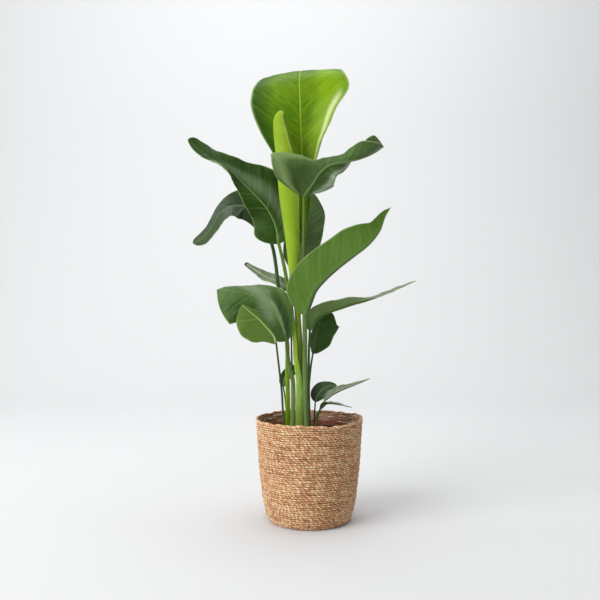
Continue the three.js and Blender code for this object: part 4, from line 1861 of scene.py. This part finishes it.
CROWN = Leaf(
    "crown_leaf", Age.NEW,
    finish_of(
        0x446C00, 0x76980A, 0x7FA012, 0x9CB83C, 0x5E8420, 0x6F8E20, gloss=0.34, specular=0.12, keel=0x9CB83C,
        # Patches, in order: painted shade along the left margin, a darker band across the top, painted light
        # shining through the right half, and two painted highlights on the rolled right margin.
        clouds=(
            ToneSheenShadePatch((0.0, 0.15), (0.0, 0.8), 0.24, 0x244A00, 0.9),
            ToneSheenShadePatch((0.1, 0.84), (0.9, 0.84), 0.17, 0x2E5A00, 0.85),
            ToneSheenShadePatch((0.8, 0.45), (0.84, 0.7), 0.2, 0x88B000, 0.45),
            ToneSheenShadePatch((0.98, 0.2), (0.98, 0.4), 0.05, 0xC4D48C, 0.5),
            ToneSheenShadePatch((0.9, 0.4), (0.93, 0.58), 0.06, 0xD0DC9C, 0.75),
        ),
    ),
    stalk=[[-9, 145, 16], [-9, 177, 16], [-9, 277, 20], [-10, 397, 20], [-11, 497, 20], [-8, 557, 23]],
    radius=(4.8, 3.4),
    rib=[[-8, 557, 23], [-10, 627, 28], [-14, 707, 30], [-17, 777, 28], [-19, 837, 28], [-20, 877, 38],
         [-17, 895, 64], [-13, 885, 100], [-9, 847, 136]],
    face=[[0, -1, 0.05], [0, -1, 0.1], [0, -1, 0.3], [0, -0.5, 0.9], [0, 0.2, 1]],
    left=Half([3, 26, 40, 55, 84, 102, 91, 75, 42], [20, 5, 0, -5, -5, -10],
              [10, 5, 0, -5, -15, -10], (0.05, 0.3)),
    right=Half([3, 12, 20, 29, 38, 49, 65, 79, 101, 95, 84, 64, 36], [40, 20, 0, -5, 2, 3, 0],
               [40, 60, 80, 60, 15, -5, -10], (0.05, 0.3)),
    wave=(3, 1.6, 0.1),
)
HOOD = Leaf(
    "hood_leaf", Age.MATURE,
    finish_of(
        0x2A4119, 0x526C38, 0x3E5628, 0x7E9A4A, 0x5C7C2A, 0x6F8E30, keel=0x56743A,
        # Patches, in order: painted sheen on the lobe near the base, painted sheen on the panel, painted
        # sheen on the raised tip, and painted shade near the base on the right.
        clouds=(
            ToneSheenShadePatch((0.97, 0.3), (0.82, 0.06), 0.12, 0x849E60, 0.8),
            ToneSheenShadePatch((0.1, 0.2), (0.1, 0.55), 0.14, 0xA0AE98, 0.8),
            ToneSheenShadePatch((0.35, 0.82), (0.5, 1.0), 0.24, 0x94A68C, 0.7),
            ToneSheenShadePatch((0.7, 0.08), (0.72, 0.3), 0.12, 0x2E4616, 0.5),
        ),
    ),
    stalk=[[-3, 145, 6.5], [-3, 177, 6.5], [-6, 237, 6], [-8, 317, 4], [-9, 405, 1], [-11, 537, -8],
           [-11, 597, -14], [-11, 643, -20]],
    radius=(4.4, 3.3),
    rib=[[-11, 643, -20], [-2, 657, -31], [9, 672, -40], [22, 691, -48], [41, 706, -56], [67, 713, -64],
         [97, 719, -72], [125, 729, -78], [149, 743, -82]],
    face=[[-0.2, 1, 0.1], [-0.2, 1, 0.1], [-0.1, 1, 0.2], [0, 1, 0.3], [0, 0.85, 0.5], [0, 0.4, 0.9],
          [0, -0.1, 1], [0, -0.4, 0.9], [0, -0.6, 0.8]],
    left=Half([12, 15, 26, 37, 34, 28, 23, 28, 35, 27, 27, 30, 31], [0, 0, 0, 0, 40, 55, 55],
              [10, 10, 0, 0, 0, 0], (0.1, 0.03)),
    right=Half([47, 74, 95, 94, 32, 20, 17, 17, 26, 32, 33, 30, 22], [-8, -8, -4, 5, 20, 30, 50, 55],
               [0, 0, 20, 50, 80, 80, 30, 0], (0.1, 0.05)),
    wave=(2.5, 3.5, 0.2),
    pleats=(0.75, 0.25),
)
UPPER_LEFT = Leaf(
    "upper_left_leaf", Age.MATURE,
    finish_of(
        0x203E0C, 0x405E20, 0x8CA468, 0x869C60, 0x5E7E2A, 0xACC848, keel=0x7C9A40, rib_width=0.2,
        greens=(0.3, 0.5),
        # Patches, in order: painted sheen between the midrib and the right margin, a darker patch towards
        # the tip, and a pale strip along the left margin towards the tip.
        clouds=(
            ToneSheenShadePatch((0.6, 0.6), (0.76, 0.24), 0.16, 0x74886A, 0.6),
            ToneSheenShadePatch((0.56, 0.95), (0.7, 0.7), 0.14, 0x2C5010, 0.7),
            ToneSheenShadePatch((0.03, 0.72), (0.03, 0.92), 0.1, 0xA8B890, 0.6),
        ),
    ),
    stalk=[[-20, 145, -6], [-20, 177, -6], [-21, 237, -7], [-22, 277, -7], [-27, 317, -7.5],
           [-28.5, 353, -8], [-35, 411, -4], [-42, 457, 1], [-51, 507, 11], [-61, 549, 20]],
    radius=(6, 3.4),
    rib=[[-61, 549, 20], [-70, 590, 27], [-86, 621, 29], [-109, 647, 28], [-135, 673, 25],
         [-163, 700, 18], [-205, 727, 8], [-243, 758, -6]],
    face=[[0.1, -1, 0.2], [0.1, -0.95, 0.3], [0, -0.9, 0.4], [-0.1, -0.7, 0.6], [-0.1, -0.7, 0.6]],
    left=Half([50, 45, 37, 35, 25, 23, 26, 27, 15], [5, 0, 5, 10, 10, 10],
              [10, -10, 0, 60, 50, 30], (0.1, 0.05)),
    right=Half([24, 46, 65, 73, 64, 38, 26, 24, 14], [0, -5, 0, 5, 0], [0, -10, -10, 0], (0.1, 0.05)),
    wave=(4.5, 3, 0.1),
)
DROOPING = Leaf(
    "drooping_left_leaf", Age.MATURE,
    finish_of(
        0x223618, 0x3C5034, 0x6E8C50, 0x708462, 0x365626, 0x8CAE10, specular=0.3, rib_width=0.2,
        greens=(0.2, 0.5),
        clouds=(ToneSheenShadePatch((0.5, 0.9), (0.5, 1.0), 0.3, 0x52702C, 0.6),),
    ),
    stalk=[[-43, 145, 7], [-43, 177, 7], [-43, 237, 9], [-44, 297, 11], [-44, 347, 13], [-51, 397, 16],
           [-61, 457, 23], [-67, 507, 34], [-73, 541, 44], [-82, 567, 52]],
    radius=(4.8, 3.6),
    rib=[[-82, 567, 52], [-101, 605, 58], [-123, 623, 60], [-141, 627, 60], [-159, 625, 57],
         [-174, 617, 52], [-185, 603, 47], [-197, 581, 40], [-213, 563, 35], [-232, 549, 30]],
    face=[[0.1, -1, 0.3], [-0.2, -0.85, 0.4], [-0.5, -0.8, 0.3], [-0.6, -0.7, 0.2]],
    left=Half([16, 24, 31, 37, 34, 32, 34, 28], [10, 5, 10, 20], [0, 0], (0.15, 0.07)),
    right=Half([16, 32, 41, 33, 18, 11, 11, 10], [10, 5, 10, 20], [0, 0], (0.15, 0.07)),
    wave=(2, 2.5, 0.3),
)
KEELED = Leaf(
    "right_keeled_leaf", Age.YOUNG,
    finish_of(
        0x42621C, 0x5C7E30, 0x4C6E20, 0x7C9C48, 0x5C7E40, 0x708C52, gloss=0.44, specular=0.2, keel=0x46622E,
        dry_from=0.97,
    ),
    stalk=[[-5, 145, -8], [-5, 177, -8], [-8, 237, -9], [-9, 311, -10], [-9, 367, -12], [-9, 405, -17]],
    radius=(7, 4.4),
    rib=[[-9, 405, -17], [0, 431, -24], [11, 457, -32], [30, 479, -40], [56, 502, -48], [88, 526, -54],
         [117, 548, -60], [139, 574, -62], [151, 604, -62], [163, 622, -60]],
    face=[[-0.56, 0.7, 0.42], [-0.56, 0.7, 0.42], [-0.6, 0.6, 0.5], [-0.8, 0.5, 0.2], [-0.8, 0.5, 0.2]],
    left=Half([36, 45, 52, 55, 53, 51, 45, 32, 1], [45, 40, 40, 40], [0, 0], (0.14, 0.05)),
    right=Half([36, 50, 57, 57, 53, 51, 42, 20, 1], [50, 45, 45, 40], [0, 0], (0.14, 0.05)),
    wave=(1.5, 2, 0),
    sheath=Sheath(
        [[-17, 150, -9.4, 10.5], [-17.5, 195, -9.4, 10.5], [-18.5, 240, -9.6, 9.8],
         [-19.5, 275, -9.9, 8.6], [-21, 300, -10.2, 6.4], [-22, 314, -10.4, 3.6], [-22.5, 320, -10.5, 0.1]],
        foot=0x6E8438, tip=0x8BAF52,
    ),
)
LONG_TIPPED = Leaf(
    "long_tipped_leaf", Age.MATURE,
    finish_of(
        0x44602C, 0x6C8844, 0x5E7E36, 0x94AA6C, 0x567434, 0x66863A, specular=0.5,
        # Painted sheen: a greyish patch along the left half.
        clouds=(ToneSheenShadePatch((0.25, 0.3), (0.25, 0.8), 0.25, 0x8C9C7A, 0.5),),
    ),
    stalk=[[1, 145, 15], [1, 177, 15], [-1, 237, 15], [-1, 327, 15], [0, 357, 13], [1, 375, 11]],
    radius=(3.1, 2.5),
    rib=[[1, 375, 11], [10, 394, 13], [23, 407, 15], [43, 415, 16], [65, 422, 17], [87, 429, 20],
         [113, 436, 23], [151, 449, 27], [213, 475, 32]],
    face=[[-0.5, 0.3, 0.7], [-0.3, 0.1, 0.9], [-0.1, 0, 1], [0, -0.1, 1], [0, -0.1, 1]],
    left=Half([24, 34, 35, 29, 22, 18, 12, 4], [60, 45, 28, 10, 5, 3], [0, 0], (0.14, 0.03)),
    right=Half([18, 26, 32, 32, 26, 20, 12, 4], [60, 42, 26, 8, 4, 0], [0, 0], (0.14, 0.03)),
    wave=(1.2, 2.3, 0.2),
)
ARCHED = Leaf(
    "arched_left_leaf", Age.MATURE,
    finish_of(
        0x335618, 0x5E7E38, 0x5E7E38, 0x7C965C, 0x5C7C38, 0x84A058, specular=0.3, rib_width=0.2,
        # Patches, in order: a painted sheen band across the blade, a painted sheen line beside the midrib
        # near the base, painted shade near the base on the right, and a darker patch on the left half.
        clouds=(
            ToneSheenShadePatch((0.72, 0.6), (0.3, 0.36), 0.16, 0x94A684, 0.5),
            ToneSheenShadePatch((0.62, 0.42), (0.56, 0.12), 0.07, 0xA8B69A, 0.5),
            ToneSheenShadePatch((0.74, 0.36), (0.7, 0.1), 0.2, 0x1C380C, 0.8),
            ToneSheenShadePatch((0.2, 0.6), (0.2, 0.3), 0.2, 0x2E5010, 0.5),
        ),
    ),
    stalk=[[-34, 145, -2], [-34, 177, -2], [-32, 237, -3], [-33, 275, -5], [-38, 297, -9],
           [-42, 317, -12], [-44, 337, -16], [-45, 355, -18]],
    radius=(5.4, 3.8),
    rib=[[-45, 355, -18], [-53, 379, -23], [-64, 403, -25], [-80, 425, -25], [-101, 441, -25],
         [-127, 451, -28], [-155, 456, -33], [-185, 457, -38]],
    face=[[0.2, -0.9, 0.3], [-0.1, -0.85, 0.5], [-0.1, -0.8, 0.6], [-0.2, -0.8, 0.6], [-0.2, -0.8, 0.5]],
    left=Half([28, 47, 62, 70, 67, 67, 79, 76], [5, 0, 0, 5], [10, -10, -20, 0], (0.16, 0.15)),
    right=Half([16, 25, 36, 52, 56, 45, 27, 8], [10, 5, 0, -10, -20],
               [-10, -20, -40, -60, -30], (0.16, 0.1)),
    wave=(3, 2.2, 0.45),
)
FOLDED = Leaf(
    "folded_left_leaf", Age.YOUNG,
    finish_of(
        0x3E5C20, 0x6C8E3C, 0x58782C, 0xB4C884, 0x36562A, 0x4C6C30, gloss=0.44, specular=0.2,
        margin=0xB4C48C, keel=0xB8CC88, rib_width=0.4, rib_shows=(0.7, 0.7),
    ),
    stalk=[[-50, 145, -3], [-50, 177, -3], [-53, 219, -3], [-55, 253, -6], [-58, 280, -14],
           [-62, 314, -26], [-66, 349, -38]],
    radius=(2.5, 1.9),
    rib=[[-66, 349, -38], [-71, 365, -54], [-84, 381, -70], [-100, 398, -84], [-118, 413, -94],
         [-135, 428, -100]],
    face=[[-0.2, 0.9, 0.3], [-0.1, 0.9, 0.3], [-0.1, 0.9, 0.3]],
    left=Half([16, 26, 30, 30, 26, 16, 4], [88, 85, 80], [0, 0], (0.2, 0.12)),
    right=Half([16, 30, 43, 48, 46, 36, 12], [5, 0, -5], [10, 10], (0.2, 0.12)),
    wave=(2, 2.2, 0.3),
)
ROUND_RIGHT = Leaf(
    "round_right_leaf", Age.SHADED,
    finish_of(0x284616, 0x44662A, 0x3A5228, 0x5E7A44, 0x3A562C, 0x466234, keel=0x5E7A44),
    stalk=[[-1, 145, 24], [-1, 177, 24], [-3, 227, 24], [-1, 259, 24], [3, 302, 29], [7, 329, 33]],
    radius=(2.4, 1.8),
    rib=[[7, 329, 33], [9, 347, 34], [13, 367, 36], [20, 389, 39], [29, 407, 45], [41, 417, 53]],
    face=[[0.2, -0.95, 0.2], [0.3, -0.95, 0.2], [0.1, -0.9, 0.4]],
    left=Half([10, 16, 18, 18, 16, 10], [40, 40, 30], [0, 0], (0.3, 0.4)),
    right=Half([26, 34, 37, 40, 40, 34], [0, 0], [0, 0], (0.3, 0.2)),
)
DRY_TIPPED = Leaf(
    "dry_tipped_leaf", Age.MATURE,
    finish_of(
        # Pale grey-green colours and a whitish patch towards the tip: partly the blade drying pale, partly
        # painted sheen.
        0x566A42, 0x90A082, 0x70825A, 0xB4BEA8, 0x3E5A34, 0x52723A, tip=0x15120E, dry_from=0.93,
        clouds=(ToneSheenShadePatch((0.5, 0.75), (0.5, 0.9), 0.3, 0xD0D4CC, 0.6),),
    ),
    stalk=[[-37, 145, 12], [-37, 177, 12], [-35, 237, 17], [-35, 303, 24], [-36, 367, 34], [-36, 417, 40],
           [-36, 451, 42]],
    radius=(2.3, 1.6),
    rib=[[-36, 451, 42], [-51, 466, 44], [-69, 476, 46], [-87, 483, 48], [-105, 494, 50],
         [-129, 510, 54]],
    face=[[-0.2, -0.8, 0.6], [-0.2, -0.8, 0.6]],
    left=Half([9, 11, 12, 12, 9, 6], [20, 20, 30], [0, 0], (0.2, 0.05)),
    right=Half([11, 13, 13, 11, 7, 5], [20, 20, 30], [0, 0], (0.2, 0.05)),
)
DARK_BACK = Leaf(
    "dark_back_leaf", Age.SHADED,
    finish_of(0x48643A, 0x6C8658, 0x4C6640, 0x8CA070, 0x446434, 0x54743A, keel=0x6E8A54),
    stalk=[[-15, 145, 24], [-15, 177, 24], [-15, 257, 28], [-17, 357, 38], [-22, 437, 50],
           [-25, 489, 60]],
    radius=(3.6, 2.6),
    rib=[[-25, 489, 60], [-20, 523, 62], [-13, 561, 66], [-7, 597, 70], [-1, 627, 76], [5, 651, 86]],
    face=[[0, -1, 0.1], [0, -1, 0.2], [0, -0.9, 0.5]],
    left=Half([20, 34, 38, 34, 24, 12], [10, 5, 10], [0, 0], (0.2, 0.35)),
    right=Half([18, 32, 39, 40, 38, 24], [10, 0, 0], [0, 0], (0.2, 0.35)),
    wave=(1.5, 2, 0.2),
)
LOW_BACK = Leaf(
    "low_back_leaf", Age.SHADED,
    finish_of(0x263C22, 0x3C5232, 0x48603A, 0x6A8450, 0x46623A, 0x527040),
    stalk=[[-43, 145, 17], [-43, 177, 17], [-46, 217, 24], [-49, 245, 30], [-52, 263, 32]],
    radius=(2, 1.6),
    rib=[[-52, 263, 32], [-51, 277, 32], [-43, 289, 34], [-29, 296, 37], [-13, 297, 40], [1, 295, 42]],
    face=[[0, -0.9, 0.5], [0, -0.9, 0.5]],
    left=Half([8, 10, 12, 12, 8, 3], [10, 10], [0, 0], (0.2, 0.1)),
    right=Half([8, 10, 12, 10, 6, 2], [10, 10], [0, 0], (0.2, 0.1)),
    columns=32,
)
SEEDLING_BROAD = Leaf(
    "seedling_broad_leaf", Age.SHADED,
    finish_of(0x263A20, 0x3E5234, 0x46603A, 0x6A8450, 0x3A5630, 0x486436),
    stalk=[[10, 145, 10], [10, 177, 10], [10, 201, 9], [11, 217, 8], [12, 233, 7]],
    radius=(1.8, 1.5),
    rib=[[12, 233, 7], [16, 245, 6], [25, 257, 4], [39, 265, 1], [55, 266, -2]],
    face=[[0, -0.9, 0.5], [0, -0.9, 0.5]],
    left=Half([12, 16, 16, 9, 3], [10, 10], [0, 0], (0.3, 0.1)),
    right=Half([10, 15, 16, 14, 5], [10, 10], [0, 0], (0.3, 0.1)),
    columns=32,
)
SEEDLING_LONG = Leaf(
    "seedling_long_leaf", Age.MATURE,
    finish_of(
        # Pale grey-green colours and a pale patch paint a whitish sheen on the upper side of a mid-green
        # blade.
        0x829876, 0xBCC6B2, 0x4E6C3A, 0xB4BEA8, 0x3E5E34, 0x4C6C3C, specular=0.6,
        clouds=(ToneSheenShadePatch((0.5, 0.2), (0.5, 0.6), 0.5, 0xC4CCBC, 0.7),),
    ),
    stalk=[[7, 145, 3], [7, 177, 3], [13, 201, 2], [22, 220, 0], [30, 235, -4]],
    radius=(2, 1.5),
    rib=[[30, 235, -4], [41, 245, -8], [55, 253, -12], [71, 260, -16], [95, 269, -22], [122, 280, -28]],
    face=[[-0.2, 0.3, 0.9], [-0.2, 0.3, 0.9], [-0.2, 0.1, 0.95]],
    left=Half([8, 12, 13, 10, 6, 2], [40, 30, 20], [0, 0], (0.2, 0.05)),
    right=Half([8, 12, 13, 10, 6, 2], [40, 30, 20], [0, 0], (0.2, 0.05)),
    columns=32,
)
SEEDLING_LOW = Leaf(
    "seedling_low_leaf", Age.SHADED,
    finish_of(0x2E4A2C, 0x506A50, 0x48643A, 0x849A80, 0x3E5E38, 0x4C6C40, tip=0x2A241C, dry_from=0.93),
    stalk=[[15, 145, 0], [15, 177, 0], [16, 191, -1], [18, 207, -4], [22, 218, -7]],
    radius=(1.8, 1.4),
    rib=[[22, 218, -7], [30, 227, -11], [37, 231, -15], [49, 230, -21], [65, 227, -27], [85, 222, -33]],
    face=[[-0.2, 0.3, 0.9], [0, 0.1, 1], [0.2, 0, 1]],
    left=Half([6, 9, 10, 8, 5, 2], [30, 10, 10], [0, 0], (0.2, 0.05)),
    right=Half([6, 9, 10, 8, 5, 2], [30, 10, 10], [0, 0], (0.2, 0.05)),
    columns=32,
)
LEAVES = (
    CROWN, HOOD, UPPER_LEFT, DROOPING, KEELED, LONG_TIPPED, ARCHED, FOLDED, ROUND_RIGHT, DRY_TIPPED,
    DARK_BACK, LOW_BACK, SEEDLING_BROAD, SEEDLING_LONG, SEEDLING_LOW,
)
ROLLED = RolledLeaf(
    "rolled_leaf",
    finish_of(
        0x6A8C0E, 0x98B62C, 0x7E9E10, 0xA8C04C, 0x8AA430, 0x809A2C, gloss=0.4, specular=0.2, slope=5.0,
        margin=0xA8BC58, tip=0x7E8A44,
        # Painted shade: a dark band along the roll, where the turn within lies in shade beside the outer
        # edge.
        clouds=(ToneSheenShadePatch((0.47, 0.0), (0.47, 1.0), 0.12, 0x4E7400, 0.7),),
    ),
    line=[
        [-14, 145, 6, 4.8], [-14, 177, 6, 4.8], [-18, 247, 5.5, 5], [-20, 297, 4.5, 5.2], [-21, 347, 1, 5.6],
        [-23, 405, -2, 6.2], [-25, 437, -3, 8], [-29, 477, -3, 10.3], [-31, 523, -4, 13.2],
        [-33, 557, -5, 15.4], [-35, 587, -6, 17.6], [-38, 637, -7, 22], [-42, 681, -8, 22],
        [-45, 717, -8, 21.2], [-50, 747, -8, 19.8], [-55, 775, -8, 17.5], [-58, 795, -8, 14],
        [-56, 807, -8, 10.5], [-55, 815, -8, 5],
    ],
)


# ------------------------------------------------------------------ the studio
@dataclass(frozen=True)
class Lamp:
    """A soft square lamp.

    Attributes:
        name: its name.
        place: where it hangs.
        aim: the point that it faces.
        size: the length of its side.
        watts: its power.
    """

    name: str
    place: tuple[float, float, float]
    aim: tuple[float, float, float]
    size: float
    watts: float

    def hang(self) -> None:
        """Adds the lamp to the scene."""
        data = bpy.data.lights.new(self.name, "AREA")
        data.size = self.size
        data.energy = self.watts
        lamp = bpy.data.objects.new(self.name, data)
        bpy.context.scene.collection.objects.link(lamp)
        lamp.location = self.place
        away = Vector(self.place) - Vector(self.aim)
        lamp.rotation_euler = away.to_track_quat("Z", "Y").to_euler()


LAMPS = (
    Lamp("window", (-2.9, -2.2, 2.3), (0, 0, 0.45), 2.8, 155),
    Lamp("overhead", (0.2, -0.3, 3.0), (0, 0, 0.3), 2.4, 14),
    Lamp("backdrop", (0.0, 0.8, 3.2), (0, 3.2, 0.7), 2.6, 52),
)


@dataclass
class Studio:
    """A pale sweep, soft light from the left, and the camera.

    Attributes:
        pale: the sweep's colour.
        sky: the strength of the light from all round.
        front: how far the floor reaches towards the camera.
        half_wide: half its width.
        long: the length of the whole sweep.
        back: where the backdrop stands.
        bend: the radius of the bend at its foot.
        columns: the sweep's faces across.
        rows: its faces along.
        lens: the camera's focal length in millimetres.
    """

    pale: int = 0xDADBDC
    sky: float = 0.41
    front: float = 5.0
    half_wide: float = 7.0
    long: float = 14.0
    back: float = 3.2
    bend: float = 1.6
    columns: int = 4
    rows: int = 120
    lens: float = 43.5

    def _sweep(self) -> None:
        """The floor, which bends up into the backdrop."""
        start = self.back - self.bend
        arc = self.bend * math.pi / 2

        def place(across: np.ndarray, on: np.ndarray) -> np.ndarray:
            """Bends the sheet up at the back.

            Args:
                across: the shares across the grid.
                on: the shares from its first row to its last.

            Returns:
                The places in metres.
            """
            run = on * self.long - self.front
            angle = np.clip((run - start) / self.bend, 0, math.pi / 2)
            y = np.where(run < start, run, start + self.bend * np.sin(angle))
            z = np.where(run < start, 0, self.bend * (1 - np.cos(angle)))
            z = z + np.maximum(0, run - start - arc)
            return np.column_stack([(2 * across - 1) * self.half_wide, y, z])

        floor = sheet("pale_sweep", self.columns, self.rows, place)
        shader = Shader("pale_sweep")
        floor.data.materials.append(shader.finish(colour(self.pale), 0.9, Specular_IOR_Level=0.1))
        soften(floor, FLOOR_SHARP)

    def _world(self) -> None:
        """The even light of a white room."""
        world = bpy.data.worlds.new("white_room")
        world.use_nodes = True
        back = world.node_tree.nodes["Background"]
        back.inputs["Color"].default_value = (1.0, 1.0, 1.0, 1.0)
        back.inputs["Strength"].default_value = self.sky
        bpy.context.scene.world = world

    def _camera(self) -> None:
        """The camera, level and straight ahead, where the front elevation is seen from."""
        data = bpy.data.cameras.new("camera")
        data.lens = self.lens
        camera = bpy.data.objects.new("camera", data)
        eye = (ELEVATION.eye_x, -ELEVATION.eye_distance, ELEVATION.eye_height)
        camera.location = Vector(eye) * MM
        camera.rotation_euler = (math.pi / 2, 0, 0)
        bpy.context.scene.collection.objects.link(camera)
        bpy.context.scene.camera = camera

    def build(self) -> None:
        """Sets up the sweep, the light and the camera."""
        self._sweep()
        self._world()
        for lamp in LAMPS:
            lamp.hang()
        self._camera()


def main() -> None:
    """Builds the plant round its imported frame."""
    logging.basicConfig(level=logging.INFO, format="%(message)s")
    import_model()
    bpy.context.scene.view_settings.view_transform = "Standard"
    pot_low, pot_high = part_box("nursery_pot")
    soil_low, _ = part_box("soil")
    pot = NurseryPot(bottom=pot_low.z / MM, top=pot_high.z / MM)
    soil = Soil(bottom=soil_low.z / MM)
    pieces = Basket().build()
    pieces += [maker.build() for maker in (pot, soil, ROLLED, *LEAVES)]
    for piece in pieces:
        LOG.info("%s: %d faces", piece.name, len(piece.data.polygons))
    Studio().build()
    deselect()


if __name__ == "__main__":
    main()
